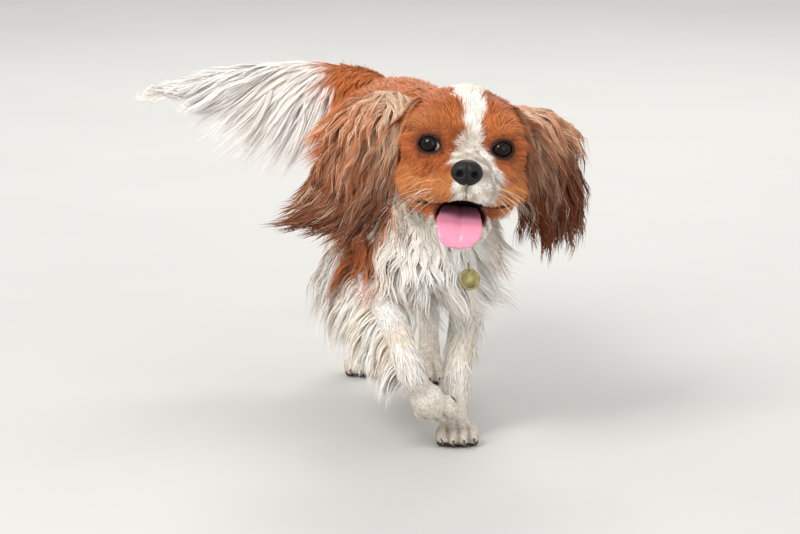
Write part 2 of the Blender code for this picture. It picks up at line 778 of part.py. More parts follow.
def head_pieces(work):
    """Head, lower jaw, tongue, nose leather and eyes, in the head's own frame."""
    pieces = [ellipsoid(middle, half_sizes, work) for middle, half_sizes in SKULL]
    for middle, half_sizes in HEAD_PAIRS:
        for side in (-1, 1):
            pieces.append(ellipsoid((side * middle[0], *middle[1:]), half_sizes, work))
    pieces.append(loft(MUZZLE, (1, 0, 0), work))
    head = melted(pieces, voxel=0.0034, rounds=6, keep=0.125, collection=work)
    boolean(head, eye_balls(EYE_RADIUS + LID_THICK, work, 20, 12), "UNION")
    boolean(head, lid_openings(work), "DIFFERENCE")
    boolean(head, eye_balls(EYE_RADIUS + GAP, work), "DIFFERENCE")
    boolean(head, [ellipsoid(*MOUTH, work, 16, 10), ellipsoid(*PHILTRUM, work, 8, 8)], "DIFFERENCE")
    keep_largest(head)

    jaw = loft(spline_stations(JAW, 8), (1, 0, 0), work, sides=10)
    cut_clear(jaw, (head,), work)

    tongue = loft(spline_stations(TONGUE, 10), (1, 0, 0), work, sides=12, bow=-0.12)
    cut_clear(tongue, (jaw, head), work)

    nose = ellipsoid(NOSE_AT, NOSE_SIZE, work, 12, 8)
    nostrils = []
    for side in (-1, 1):
        middle = (side * NOSTRIL_APART, NOSE_AT[1] - NOSE_SIZE[1] * 0.85, NOSE_AT[2])
        nostrils.append(ellipsoid(middle, NOSTRIL_SIZE, work, 10, 6))
    boolean(nose, nostrils, "DIFFERENCE")
    cut_clear(nose, (head,), work)

    eyes = eye_balls(EYE_RADIUS, work)
    made = {
        "head": head,
        "lower_jaw": jaw,
        "tongue": tongue,
        "nose": nose,
        "eye_right": eyes[0],
        "eye_left": eyes[1],
    }
    for piece in made.values():
        piece.data.transform(head_matrix())
    return made


def paw(name, work):
    """A paw with four toes and a claw on each, its sole cut flat. It heads along its own -Y."""
    middle, toes, sole_facing = (Vector(value) for value in PAWS[name])
    pieces = [
        ellipsoid(
            (0, 0.004, PAW_HEIGHT * 0.46),
            (PAW_HALF_WIDTH * 0.86, PAW_HALF_LENGTH * 0.80, PAW_HEIGHT * 0.54),
            work,
        )
    ]
    for toe in (-1.5, -0.5, 0.5, 1.5):
        reach = PAW_HALF_LENGTH * (0.62 if abs(toe) < 1 else 0.42)
        at = (toe * PAW_HALF_WIDTH * 0.50, -reach, PAW_HEIGHT * 0.34)
        pieces.append(ellipsoid(at, (0.0062, 0.0105, 0.0090), work, 16, 10))
    whole = melted(pieces, voxel=0.0024, rounds=3, keep=0.055, collection=work)
    claws = []
    for toe in (-1.5, -0.5, 0.5, 1.5):
        reach = PAW_HALF_LENGTH * (0.62 if abs(toe) < 1 else 0.42)
        claw = (
            (toe * PAW_HALF_WIDTH * 0.50, -reach - 0.0050, 0.0085, 0.0016, 0.0020),
            (toe * PAW_HALF_WIDTH * 0.50, -reach - 0.0110, 0.0068, 0.0013, 0.0016),
            (toe * PAW_HALF_WIDTH * 0.50, -reach - 0.0145, 0.0040, 0.0006, 0.0008),
        )
        claws.append(loft(claw, (1, 0, 0), work, sides=6))
    boolean(whole, claws, "UNION")
    sole = half_space(Vector((0, 0, SOLE_CUT)), Vector((0, 0, -1)), work)
    boolean(whole, [sole], "DIFFERENCE")
    keep_largest(whole)
    ahead = toes.normalized()
    down = (sole_facing - ahead * sole_facing.dot(ahead)).normalized()
    turn = Matrix((ahead.cross(down), -ahead, -down)).transposed().to_4x4()
    whole.data.transform(Matrix.Translation(middle) @ turn @ Matrix.Translation((0, 0, -SOLE_CUT)))
    return whole


def leg(stations, neighbours, work):
    """A leg's loft, smoothed at its bends and cut clear of the pieces that it meets."""
    made = loft(spline_stations(stations, 12), (1, 0, 0), work)
    made = melted([made], voxel=0.0062, rounds=3, keep=0.16, collection=work)
    cut_clear(made, neighbours, work)
    return made


def surface_reach(middle, ray, pieces):
    """How far from the middle the pieces' outermost surface lies along the ray."""
    far = []
    for piece in pieces:
        hit, place, _, _ = piece.ray_cast(middle + ray * 0.3, -ray)
        if hit:
            far.append((place - middle).dot(ray))
    return max(far)


def collar_band(torso, neck, work):
    """A band round the neck in the collar's plane, just clear of the pieces it lies on."""
    facing = COLLAR_FACING.normalized()
    across = Vector((1, 0, 0))
    upward = facing.cross(across)
    steps = 32
    rays = []
    for step in range(steps):
        angle = math.tau * step / steps
        rays.append(across * math.cos(angle) + upward * math.sin(angle))
    rings = [[] for _ in rays]
    builder = bmesh.new()
    for edge, thick in ((-0.5, 0.0), (-0.5, COLLAR_THICK), (0.5, COLLAR_THICK), (0.5, 0.0)):
        middle = COLLAR_AT + facing * edge * COLLAR_WIDTH
        reach = np.array([surface_reach(middle, ray, (torso, neck)) for ray in rays])
        for _ in range(3):
            reach = np.maximum(reach, (np.roll(reach, 1) + np.roll(reach, -1)) / 2)
        for ring, ray, far in zip(rings, rays, reach):
            ring.append(builder.verts.new(middle + ray * (far + COLLAR_LIFT + thick)))
    for step in range(steps):
        first = rings[step]
        second = rings[(step + 1) % steps]
        for corner in range(4):
            following = (corner + 1) % 4
            builder.faces.new((first[corner], first[following], second[following], second[corner]))
    return new_object("collar", builder, work)


def collar_tag(collar, work):
    """A blank round tag that hangs from the front of the collar."""
    builder = bmesh.new()
    bmesh.ops.create_cone(
        builder, cap_ends=True, segments=24, radius1=TAG_RADIUS, radius2=TAG_RADIUS, depth=TAG_THICK
    )
    facing = TAG_FACING.normalized().to_track_quat("Z", "Y").to_matrix().to_4x4()
    bmesh.ops.transform(builder, matrix=Matrix.Translation(TAG_AT) @ facing, verts=builder.verts)
    return new_object("tag", builder, work)


def main():
    for thing in list(bpy.data.objects):
        bpy.data.objects.remove(thing, do_unlink=True)
    model = bpy.data.collections.new("cavalier_spaniel")
    work = bpy.data.collections.new("work")
    bpy.context.scene.collection.children.link(model)
    bpy.context.scene.collection.children.link(work)

    chestnut = material("chestnut_coat", CHESTNUT, 0.75)
    dark = material("ear_coat", DARK_CHESTNUT, 0.70)
    cream = material("white_coat", CREAM, 0.80)
    leather = material("nose_leather", BLACK_SKIN, 0.45)
    eye_brown = material("eye_brown", EYE_BROWN, 0.08)
    pink = material("tongue_pink", TONGUE_PINK, 0.35)
    olive = material("collar_webbing", OLIVE, 0.80)

    torso, neck = body_and_neck(work)
    face = head_pieces(work)
    head = face["head"]
    cut_clear(neck, (head, face["lower_jaw"]), work)

    paws = {name: paw(name, work) for name in PAWS}
    legs = {
        "foreleg_right": leg(FORELEG_RIGHT, (torso, paws["fore_paw_right"]), work),
        "foreleg_left": leg(FORELEG_LEFT, (torso, paws["fore_paw_left"]), work),
        "hind_leg_right": leg(HIND_LEG_RIGHT, (torso, paws["hind_paw_right"]), work),
        "hind_leg_left": leg(HIND_LEG_LEFT, (torso, paws["hind_paw_left"]), work),
    }
    tail = loft(spline_stations(TAIL, 12), (0, 0, 1), work, sides=8)
    cut_clear(tail, (torso,), work)
    collar = collar_band(torso, neck, work)
    cut_clear(collar, (torso, neck, head, face["lower_jaw"]), work)
    tag = collar_tag(collar, work)
    cut_clear(tag, (torso, neck, collar), work)
    ears = {
        "ear_right": loft(spline_stations(EAR_RIGHT, 9), (-0.93, 0.36, 0.0), work, 12, bow=0.2),
        "ear_left": loft(spline_stations(EAR_LEFT, 9), (0.95, 0.30, 0.0), work, 12, bow=-0.2),
    }
    for piece in ears.values():
        cut_clear(piece, (head, neck, torso, collar), work)

    growing = {"torso": torso, "neck": neck, "tail": tail, **ears, **legs}
    still = [face["lower_jaw"], face["tongue"], head, collar, tag, *paws.values()]
    random = np.random.default_rng(SEED)
    for name, piece in growing.items():
        rest = [other for other in growing.values() if other is not piece]
        grow_locks(piece, name, rest + still, random, work)

    finish(torso, "torso", chestnut, model)
    finish(neck, "neck", cream, model)
    finish(tail, "tail", cream, model)
    for name, piece in ears.items():
        finish(piece, name, dark, model)
    for name, piece in legs.items():
        finish(piece, name, cream, model)
    for name, piece in paws.items():
        finish(piece, name, cream, model)
    skins = {
        "head": chestnut,
        "lower_jaw": cream,
        "tongue": pink,
        "nose": leather,
        "eye_right": eye_brown,
        "eye_left": eye_brown,
    }
    for name, made_of in skins.items():
        finish(face[name], name, made_of, model)
    finish(collar, "collar", olive, model)
    finish(tag, "collar_tag", material("tag_brass", BRASS, 0.35, 1.0), model)
    bpy.data.collections.remove(work)


main()
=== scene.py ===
"""The looks of the Cavalier King Charles spaniel: skin, coat, face, collar, stage and camera.

The dog faces -Y and its left side is +X. Sizes are metres. Lengths along the body are given in the
body's own frame, which lies SHIFT away from the model's frame.
"""

import math

import bpy
import numpy as np
from mathutils import Euler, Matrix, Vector
from mathutils.bvhtree import BVHTree
from mathutils.kdtree import KDTree


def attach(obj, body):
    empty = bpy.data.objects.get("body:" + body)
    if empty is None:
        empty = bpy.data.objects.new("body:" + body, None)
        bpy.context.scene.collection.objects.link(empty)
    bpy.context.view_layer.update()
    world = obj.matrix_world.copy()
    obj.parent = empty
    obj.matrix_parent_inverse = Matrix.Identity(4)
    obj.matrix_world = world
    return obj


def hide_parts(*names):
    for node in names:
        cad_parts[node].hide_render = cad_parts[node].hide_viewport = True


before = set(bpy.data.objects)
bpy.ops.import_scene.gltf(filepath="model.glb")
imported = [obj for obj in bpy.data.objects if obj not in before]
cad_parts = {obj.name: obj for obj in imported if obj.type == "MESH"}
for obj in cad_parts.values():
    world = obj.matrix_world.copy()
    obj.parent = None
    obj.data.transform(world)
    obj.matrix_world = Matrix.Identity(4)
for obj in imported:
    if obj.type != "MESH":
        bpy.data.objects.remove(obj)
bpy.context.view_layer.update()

bl_info = {
    "name": "Trotting spaniel",
    "version": (1, 0, 0),
    "blender": (4, 5, 0),
    "location": "View3D > Sidebar > Spaniel",
    "description": "Builds the skin, coat, face, collar and stage of a trotting spaniel",
    "category": "Add Mesh",
}

SHIFT = np.array((0.051, -0.091, 0.0))
SIDES = (-1, 1)  # the dog's right and left
FLOOR_GAP = 0.001  # tufts stay this high over the floor
GUIDE_FLOOR = 0.0012  # and guide locks this high
# The map OFBake: cells for the forms in rows of four, a cell's used size, its margin, a tuft's patch.
CELLS = 4
CELL_SIZE = 0.235
CELL_MARGIN = 0.005
BAKE_PATCH = 0.003
STRAND_SEED = 11  # of the number that each tuft has of its own
SKIN_SHADE = 0.72  # of the coat's brightness
LONG_SUNK, SHORT_SUNK = 0.0008, 0.0007  # depth of the tufts' roots in the skin
LOOSE_SHARE = 0.06  # share of the tufts that leave their lock
TUFT_HEIGHT = 0.22  # of its width
COMB_STEPS = 10  # pieces of a guide lock
COMB_REACH = 0.03  # locks further than this from the skin hang free of it
COMBED_ROWS = 25  # places at which a guide lock is read
SHORT_RINGS = 2  # of a tuft of the short coat
NECK_WAVES = 7  # waves kept in the collar's outline round the neck
NECK_RADIUS = 0.06  # where a ray finds no skin

# The head's own frame: its origin lies between the eyes, and it looks along its own -Y.
HEAD_AT = np.array((0.0085, -0.128, 0.2625))
HEAD_TURN = np.array(Euler([math.radians(angle) for angle in (-9, 4.5, -6)], "XYZ").to_matrix())
EYE_APART = 0.028
EYE_RADIUS = 0.0098
EYE_DEPTH = 0.0078
EYE_SPLAY = math.radians(12)

# Stations of each loft: x, y, z of the middle, then half the width and half the height.
TRUNK = (
    (-0.006, -0.05, 0.16, 0.026, 0.034), (-0.006, -0.036, 0.168, 0.046, 0.056),
    (-0.006, 0.0, 0.187, 0.058, 0.076), (-0.005, 0.045, 0.198, 0.063, 0.086),
    (-0.003, 0.09, 0.204, 0.065, 0.087), (-0.001, 0.14, 0.206, 0.064, 0.082),
    (0.001, 0.19, 0.207, 0.06, 0.074), (0.003, 0.24, 0.209, 0.057, 0.067),
    (0.004, 0.275, 0.21, 0.05, 0.058), (0.005, 0.3, 0.212, 0.03, 0.038),
)
NECK = (
    (-0.004, 0.06, 0.228, 0.052, 0.062), (-0.001, 0.02, 0.236, 0.05, 0.06),
    (0.003, -0.02, 0.245, 0.046, 0.054), (0.006, -0.055, 0.251, 0.042, 0.045),
    (0.007, -0.08, 0.256, 0.036, 0.038),
)
TAIL = (
    (0.004, 0.28, 0.246, 0.014, 0.014), (-0.002, 0.3, 0.254, 0.0135, 0.0135),
    (-0.018, 0.318, 0.26, 0.013, 0.013), (-0.042, 0.328, 0.263, 0.012, 0.012),
    (-0.075, 0.334, 0.264, 0.0105, 0.0105), (-0.112, 0.338, 0.262, 0.009, 0.009),
    (-0.15, 0.341, 0.257, 0.007, 0.007), (-0.185, 0.342, 0.25, 0.005, 0.005),
    (-0.203, 0.342, 0.245, 0.003, 0.003),
)
FORELEG_LEFT = (
    (0.036, 0.032, 0.165, 0.024, 0.032), (0.035, 0.026, 0.135, 0.02, 0.026),
    (0.032, 0.014, 0.11, 0.017, 0.02), (0.026, 0.0, 0.082, 0.0155, 0.017),
    (0.02, -0.011, 0.056, 0.0145, 0.0155), (0.018, -0.014, 0.044, 0.0148, 0.0155),
    (0.017, -0.019, 0.02, 0.014, 0.015),
)
FORELEG_RIGHT = (
    (-0.048, 0.04, 0.162, 0.024, 0.032), (-0.047, 0.024, 0.138, 0.0195, 0.0245),
    (-0.044, -0.008, 0.122, 0.0165, 0.019), (-0.04, -0.04, 0.108, 0.0148, 0.0165),
    (-0.036, -0.066, 0.095, 0.0143, 0.015), (-0.0335, -0.08, 0.084, 0.0143, 0.0145),
    (-0.027, -0.077, 0.068, 0.0135, 0.014), (-0.021, -0.071, 0.058, 0.013, 0.0135),
)
HIND_LEG_RIGHT = (
    (-0.036, 0.246, 0.172, 0.026, 0.048), (-0.038, 0.234, 0.14, 0.022, 0.04),
    (-0.036, 0.252, 0.112, 0.0165, 0.025), (-0.031, 0.286, 0.09, 0.0125, 0.0165),
    (-0.028, 0.297, 0.072, 0.0118, 0.014), (-0.024, 0.291, 0.046, 0.0118, 0.0125),
    (-0.021, 0.283, 0.02, 0.013, 0.014),
)
HIND_LEG_LEFT = (
    (0.042, 0.236, 0.172, 0.026, 0.048), (0.046, 0.216, 0.138, 0.022, 0.038),
    (0.045, 0.23, 0.108, 0.0165, 0.025), (0.041, 0.257, 0.084, 0.0125, 0.0165),
    (0.038, 0.262, 0.066, 0.0118, 0.014), (0.035, 0.251, 0.042, 0.0118, 0.0125),
    (0.034, 0.243, 0.02, 0.013, 0.014),
)
EAR_RIGHT = (
    (-0.034, -0.052, 0.286, 0.014, 0.0045), (-0.046, -0.048, 0.28, 0.021, 0.0048),
    (-0.058, -0.043, 0.264, 0.027, 0.0048), (-0.067, -0.038, 0.243, 0.03, 0.0045),
    (-0.072, -0.035, 0.221, 0.028, 0.004), (-0.074, -0.033, 0.2, 0.018, 0.0032),
)
EAR_LEFT = (
    (0.058, -0.052, 0.274, 0.012, 0.0045), (0.07, -0.048, 0.268, 0.017, 0.005),
    (0.081, -0.045, 0.252, 0.021, 0.005), (0.088, -0.043, 0.232, 0.024, 0.0045),
    (0.091, -0.042, 0.212, 0.023, 0.004), (0.092, -0.042, 0.194, 0.015, 0.0032),
)
EARS = {-1: EAR_RIGHT, 1: EAR_LEFT}
EAR_ACROSS = {-1: (-0.93, 0.36, 0.0), 1: (0.95, 0.3, 0.0)}
LIMBS = {
    "foreleg_right": FORELEG_RIGHT,
    "foreleg_left": FORELEG_LEFT,
    "hind_right": HIND_LEG_RIGHT,
    "hind_left": HIND_LEG_LEFT,
}
# Shoulders and haunches: the middle and half the size of each.
THIGHS = (
    ((-0.042, 0.018, 0.172), (0.028, 0.044, 0.062)),
    ((0.034, 0.022, 0.172), (0.028, 0.044, 0.062)),
    ((-0.034, 0.246, 0.178), (0.03, 0.048, 0.058)),
    ((0.04, 0.236, 0.178), (0.03, 0.048, 0.058)),
)
# The head's masses in its own frame: skull, then pairs for cheek, brow, cheekbone, orbit and lips.
SKULL = (
    ((0.0, 0.046, 0.004), (0.051, 0.05, 0.046)),
    ((0.0, 0.028, 0.008), (0.045, 0.034, 0.036)),
)
HEAD_PAIRS = (
    ((0.029, 0.034, -0.024), (0.022, 0.036, 0.031)),
    ((0.025, 0.012, 0.013), (0.018, 0.017, 0.014)),
    ((0.025, 0.01, -0.015), (0.018, 0.019, 0.016)),
    ((0.038, 0.02, -0.001), (0.012, 0.018, 0.018)),
    ((0.012, -0.02, -0.0335), (0.015, 0.018, 0.013)),
    ((0.018, -0.002, -0.0365), (0.016, 0.024, 0.0145)),
)
MUZZLE = (
    (0.0, 0.018, -0.02, 0.029, 0.024), (0.0, 0.004, -0.023, 0.0275, 0.0215),
    (0.0, -0.012, -0.026, 0.025, 0.019), (0.0, -0.026, -0.028, 0.0225, 0.0165),
    (0.0, -0.035, -0.0295, 0.0175, 0.0135),
)
MOUTH = ((0, 0.0, -0.054), (0.02, 0.038, 0.014))
MOUTH_BACK = 0.02
NOSE_AT = np.array((0.0, -0.035, -0.0215))
NOSE_SIZE = np.array((0.0128, 0.0085, 0.0108))
JAW = (
    (0.0, 0.07, -0.034, 0.018, 0.011), (0.0, 0.048, -0.043, 0.029, 0.018),
    (0.0, 0.026, -0.0545, 0.029, 0.0155), (0.0, 0.004, -0.064, 0.0245, 0.012),
    (0.0, -0.012, -0.07, 0.019, 0.01), (0.0, -0.022, -0.072, 0.013, 0.0075),
)
TONGUE = (
    (0.0, 0.02, -0.05, 0.014, 0.003), (-0.001, -0.001, -0.056, 0.0165, 0.0032),
    (-0.002, -0.017, -0.0615, 0.018, 0.0032), (-0.002, -0.0265, -0.066, 0.0178, 0.003),
    (-0.003, -0.0315, -0.073, 0.016, 0.0026), (-0.003, -0.033, -0.08, 0.01, 0.002),
)
PAWS = {
    "fore_paw_left": ((0.017, -0.026, 0.0), (-0.07, -1.0, 0.0), (0, 0, -1)),
    "fore_paw_right": ((-0.008, -0.056, 0.05), (0.45, 0.47, -0.76), (0.3, 0.75, 0.45)),
    "hind_paw_right": ((-0.021, 0.272, 0.0), (-0.05, -1.0, 0.0), (0, 0, -1)),
    "hind_paw_left": ((0.033, 0.23, 0.0), (0.03, -1.0, 0.0), (0, 0, -1)),
}
PAW_HALF_WIDTH = 0.0175
PAW_HALF_LENGTH = 0.025
PAW_HEIGHT = 0.026
# Each toe's place across the paw and how far it reaches ahead.
TOES = [
    (toe * PAW_HALF_WIDTH * 0.5, PAW_HALF_LENGTH * (0.62 if abs(toe) < 1 else 0.42))
    for toe in (-1.5, -0.5, 0.5, 1.5)
]

COLLAR_AT = np.array((0.0, -0.012, 0.222))
COLLAR_FACING = np.array((0.0, -0.8, 0.6))
TAG_AT = np.array((0.02, -0.0755, 0.146))
TAG_FACING = np.array((0.1, -0.9, 0.25))

FLOOR_HALF = 9.0
LIT_AT = (0, 0, 0.16)
# Name, place, power in watts, side and colour of each studio light.
LIGHTS = (
    ("key_light", (-1.8, -2.2, 2.5), 96, 1.3, (1.0, 0.97, 0.94)),
    ("fill_light", (1.2, -2.9, 1.0), 16, 1.8, (0.97, 0.98, 1.0)),
    ("rim_light", (0.6, 2.2, 2.2), 40, 1.2, (1.0, 0.98, 0.95)),
)
# The point under the dog, and where it stands in the picture; the picture's width and middle in pixels.
UNDER_DOG = (0.02, 0, 0)
STANDS_AT = (455, 436)
PICTURE_WIDTH = 800
PICTURE_MIDDLE = (400, 267)
SENSOR_WIDTH = 36.0


def bell(*offsets):
    """A bell curve: e to the minus sum of the squared offsets."""
    return np.exp(-sum(offset**2 for offset in offsets))


def rays_round(across, upward, count):
    """Directions round a circle: at angle a, across cos a plus upward sin a."""
    angle = circle(count)[:, None]
    return across * np.cos(angle) + upward * np.sin(angle)


def unit(vectors):
    """The vectors, each at length one."""
    length = np.linalg.norm(vectors, axis=-1, keepdims=True)
    return vectors / np.maximum(length, 1e-9)


def mixed(first, second, share):
    """The values between first and second, numbers or vectors, by the share of the second."""
    first, second, share = np.asarray(first), np.asarray(second), np.asarray(share)
    if share.ndim and (first.shape[-1:] == (3,) or second.shape[-1:] == (3,)):
        share = share[..., None]
    return first * (1 - share) + second * share


def step(low, high, values):
    """0 below low, 1 above high, and a smooth rise between."""
    part = np.clip((values - low) / (high - low), 0, 1)
    return part * part * (3 - 2 * part)


def distance(points, place):
    """How far each point is from the place."""
    return np.linalg.norm(points - place, axis=1)


def circle(count):
    """Evenly spaced angles round a circle."""
    return np.linspace(0, math.tau, count, endpoint=False)


def ripples(points, size, seed):
    """A smooth random field from -1 to 1: a mean of sine waves of about that length in random directions."""
    random = np.random.default_rng(seed)
    total = np.zeros(points.shape[:-1])
    for _ in range(7):
        direction = random.normal(size=3)
        direction /= np.linalg.norm(direction) * size / math.tau * random.uniform(0.7, 1.5)
        total += np.sin(points @ direction + random.uniform(0, math.tau))
    return np.clip(total / 3.2, -1, 1)


def three_ripples(points, size, seed):
    """Ripples of three seeds in a row, as vectors."""
    return np.stack([ripples(points, size, seed + k) for k in range(3)], axis=1)


def head_local(points):
    """Body-frame points in the head's own frame."""
    return (points - HEAD_AT) @ HEAD_TURN


def head_world(points):
    """Points of the head's own frame in the body's frame."""
    return points @ HEAD_TURN.T + HEAD_AT


def paw_matrix(name):
    """Rotation and place of a paw, whose own toes point along -Y and whose sole faces -Z."""
    middle, toes, facing = (np.array(value, float) for value in PAWS[name])
    ahead = unit(toes)
    down = unit(facing - ahead * facing.dot(ahead))
    return np.stack([np.cross(ahead, down), -ahead, -down], axis=1), middle


def on_paw(name, form):
    """A form of the paw's own frame in the body's frame."""
    turn, middle = paw_matrix(name)
    corners, faces = form
    return corners @ turn.T + middle, faces


def on_head(form):
    """A form of the head's own frame in the body's frame."""
    corners, faces = form
    return head_world(corners), faces


def read_smoothly(stations, count):
    """The stations at count places along a smooth cubic curve through them."""
    points = np.array(stations, float)
    at = np.concatenate([[0.0], np.cumsum(np.linalg.norm(np.diff(points[:, :3], axis=0), axis=1))])
    slopes = np.gradient(points, at, axis=0)
    places = np.linspace(0.0, at[-1], count)
    index = np.clip(np.searchsorted(at, places, side="right") - 1, 0, len(at) - 2)
    span = (at[index + 1] - at[index])[:, None]
    part = (places - at[index])[:, None] / span
    found = (1 + 2 * part) * (1 - part) ** 2 * points[index]
    found += part * (1 - part) ** 2 * span * slopes[index]
    found += part**2 * (3 - 2 * part) * points[index + 1]
    return found + part**2 * (part - 1) * span * slopes[index + 1]


def loft(stations, side, rows=24, sides=24, depth=0.0, bow=0.0, thin=1.0):
    """Corners and faces of a closed skin over ellipses square to a smooth path through the stations.

    At angle a an ellipse has width cos a and height sin a, less the depth; bow bends it by width squared.
    """
    read = read_smoothly(stations, rows)
    middles = read[:, :3]
    along = unit(np.gradient(middles, axis=0))
    side = np.array(side, float)
    across = unit(side - along * (along @ side)[:, None])
    upward = np.cross(along, across)
    angle = circle(sides)
    wide = np.maximum(read[:, 3] - depth, 0.001)
    high = np.maximum(read[:, 4] * thin - depth, 0.0008)
    x = np.outer(wide, np.cos(angle))
    z = np.outer(high, np.sin(angle)) + bow * wide[:, None] * np.cos(angle) ** 2
    rings = middles[:, None] + across[:, None] * x[..., None] + upward[:, None] * z[..., None]
    first = middles[0] - along[0] * high[0] * 0.5
    last = middles[-1] + along[-1] * high[-1] * 0.5
    corners = np.concatenate([rings.reshape(-1, 3), [first, last]])
    return corners, tube_faces(rows, sides)


def ring_faces(rows, sides, closed=False):
    """Triangles over rings of points, also from the last ring to the first if the tube is closed."""
    ring, place = np.meshgrid(np.arange(rows if closed else rows - 1), np.arange(sides), indexing="ij")
    after, beside = (ring + 1) % rows * sides, (place + 1) % sides
    a, b, c, d = ring * sides + place, ring * sides + beside, after + beside, after + place
    return np.concatenate([np.stack(three, -1).reshape(-1, 3) for three in ((a, b, c), (a, c, d))])


def tube_faces(rows, sides):
    """Triangles over rings of points, and fans to the two points that follow them."""
    near = np.arange(sides)
    after = (near + 1) % sides
    start = np.full(sides, rows * sides)
    end = (rows - 1) * sides
    fans = [np.stack([after, near, start], -1), np.stack([near + end, after + end, start + 1], -1)]
    return np.concatenate([ring_faces(rows, sides), *fans])


def ball(middle, half_sizes, rows=14, sides=24):
    """Corners and faces of a sphere stretched to the half sizes."""
    rise = np.linspace(0, math.pi, rows + 2)[1:-1]
    turn = circle(sides)
    high = -np.outer(np.cos(rise), np.ones(sides))
    rings = np.stack([np.outer(np.sin(rise), np.cos(turn)), np.outer(np.sin(rise), np.sin(turn)), high], -1)
    corners = np.concatenate([rings.reshape(-1, 3), [(0, 0, -1), (0, 0, 1)]])
    return corners * half_sizes + middle, tube_faces(rows, sides)


def rings_round(line, thick, across, upward, sides):
    """Rings of corners round a line: at angle a, thick times across cos a and upward sin a."""
    angle = circle(sides)[None, :, None]
    thick = np.broadcast_to(thick, len(line))[:, None, None]
    rings = line[:, None] + thick * (across[:, None] * np.cos(angle) + upward[:, None] * np.sin(angle))
    return rings.reshape(-1, 3)


def tube(path, radii, sides, high=1.0):
    """Corners and faces of a closed tube round a path, each ring square to it, high times as high as wide."""
    along = unit(np.gradient(path, axis=0))
    across = unit(np.cross(along, (0, 0, 1)))
    corners = rings_round(path, radii, across, high * np.cross(across, along), sides)
    return np.concatenate([corners, path[:1], path[-1:]]), tube_faces(len(path), sides)


def ring_tube(line, thick, sides, middle):
    """Corners and faces of a tube round a closed line, its rings turned to face away from middle."""
    along = unit(np.roll(line, -1, axis=0) - np.roll(line, 1, axis=0))
    across = unit(np.cross(along, unit(line - middle)))
    corners = rings_round(line, thick, across, np.cross(across, along), sides)
    return corners, ring_faces(len(line), sides, closed=True)


def together(pieces):
    """One set of corners and faces from several."""
    corners, faces, start = [], [], 0
    for some, over in pieces:
        corners.append(some)
        faces.append(over + start)
        start += len(some)
    return np.concatenate(corners), np.concatenate(faces)


def outward(form):
    """A closed form with its faces turned round if they enclose a negative volume."""
    corners, faces = form
    a, b, c = (corners[faces[:, k]] - corners.mean(0) for k in range(3))
    volume = np.einsum("ij,ij->i", a, np.cross(b, c)).sum()
    return corners, faces if volume > 0 else faces[:, ::-1]


def mesh_object(name, corners, faces, smooth=True):
    """An object whose mesh has these corners and triangles, in the model's frame."""
    mesh = bpy.data.meshes.new(name)
    corners = np.asarray(corners, np.float32)
    faces = np.asarray(faces, np.int32)
    mesh.vertices.add(len(corners))
    mesh.vertices.foreach_set("co", corners.ravel())
    mesh.loops.add(len(faces) * 3)
    mesh.loops.foreach_set("vertex_index", faces.ravel())
    mesh.polygons.add(len(faces))
    mesh.polygons.foreach_set("loop_start", np.arange(0, len(faces) * 3, 3, dtype=np.int32))
    mesh.polygons.foreach_set("loop_total", np.full(len(faces), 3, np.int32))
    mesh.polygons.foreach_set("use_smooth", np.full(len(faces), smooth))
    mesh.update(calc_edges=True)
    mesh.validate()
    made = bpy.data.objects.new(name, mesh)
    bpy.context.scene.collection.objects.link(made)
    return made


def solid(name, form):
    """An object from a closed form in the body's frame, with its faces outward."""
    corners, faces = outward(form)
    return mesh_object(name, corners + SHIFT, faces)


def colour_attribute(mesh, colours, wet=0.0):
    """Writes the attribute coat: a colour for each corner of the mesh, and how wet it is as the alpha."""
    layer = mesh.color_attributes.new("coat", "FLOAT_COLOR", "POINT")
    alpha = np.broadcast_to(wet, len(colours))
    values = np.concatenate([colours, alpha[:, None]], axis=1).astype(np.float32)
    layer.data.foreach_set("color", values.ravel())


def uv_map(mesh, name, spots, faces):
    """Writes a UV map that gives each corner of the mesh its spot."""
    layer = mesh.uv_layers.new(name=name)
    layer.uv.foreach_set("vector", spots[faces.ravel()].astype(np.float32).ravel())


def applied(target):
    """Puts the object's evaluated mesh in place of its mesh and modifiers."""
    bpy.context.view_layer.update()
    graph = bpy.context.evaluated_depsgraph_get()
    mesh = bpy.data.meshes.new_from_object(target.evaluated_get(graph))
    old = target.data
    target.modifiers.clear()
    target.data = mesh
    mesh.name = target.name
    bpy.data.meshes.remove(old)


def dress(piece, finish, slot, *nodes):
    """Gives a finished piece its material, hangs it under the root, and hides the nodes that it stands for.
    The slot is not used.
    """
    piece.data.materials.clear()
    piece.data.materials.append(finish)
    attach(piece, "root")
    if nodes:
        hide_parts(*nodes)


def settings():
    """The model's sizes and colours."""
    return bpy.context.scene.spaniel


# Markings


def toe_gaps(points):
    """1 on the lines between the toes of each paw, 0 elsewhere."""
    found = np.zeros(len(points))
    pitch = PAW_HALF_WIDTH * 0.5
    for name in PAWS:
        turn, middle = paw_matrix(name)
        x, y, z = ((points - middle) @ turn).T
        line = np.abs(x - pitch * np.clip(np.round(x / pitch), -1, 1))
        near = (np.abs(x) < 0.02) & (y > -0.034) & (z > -0.002) & (z < 0.022)
        found = np.maximum(found, near * step(0.0022, 0.0008, line) * step(-0.006, -0.012, y))
    return found


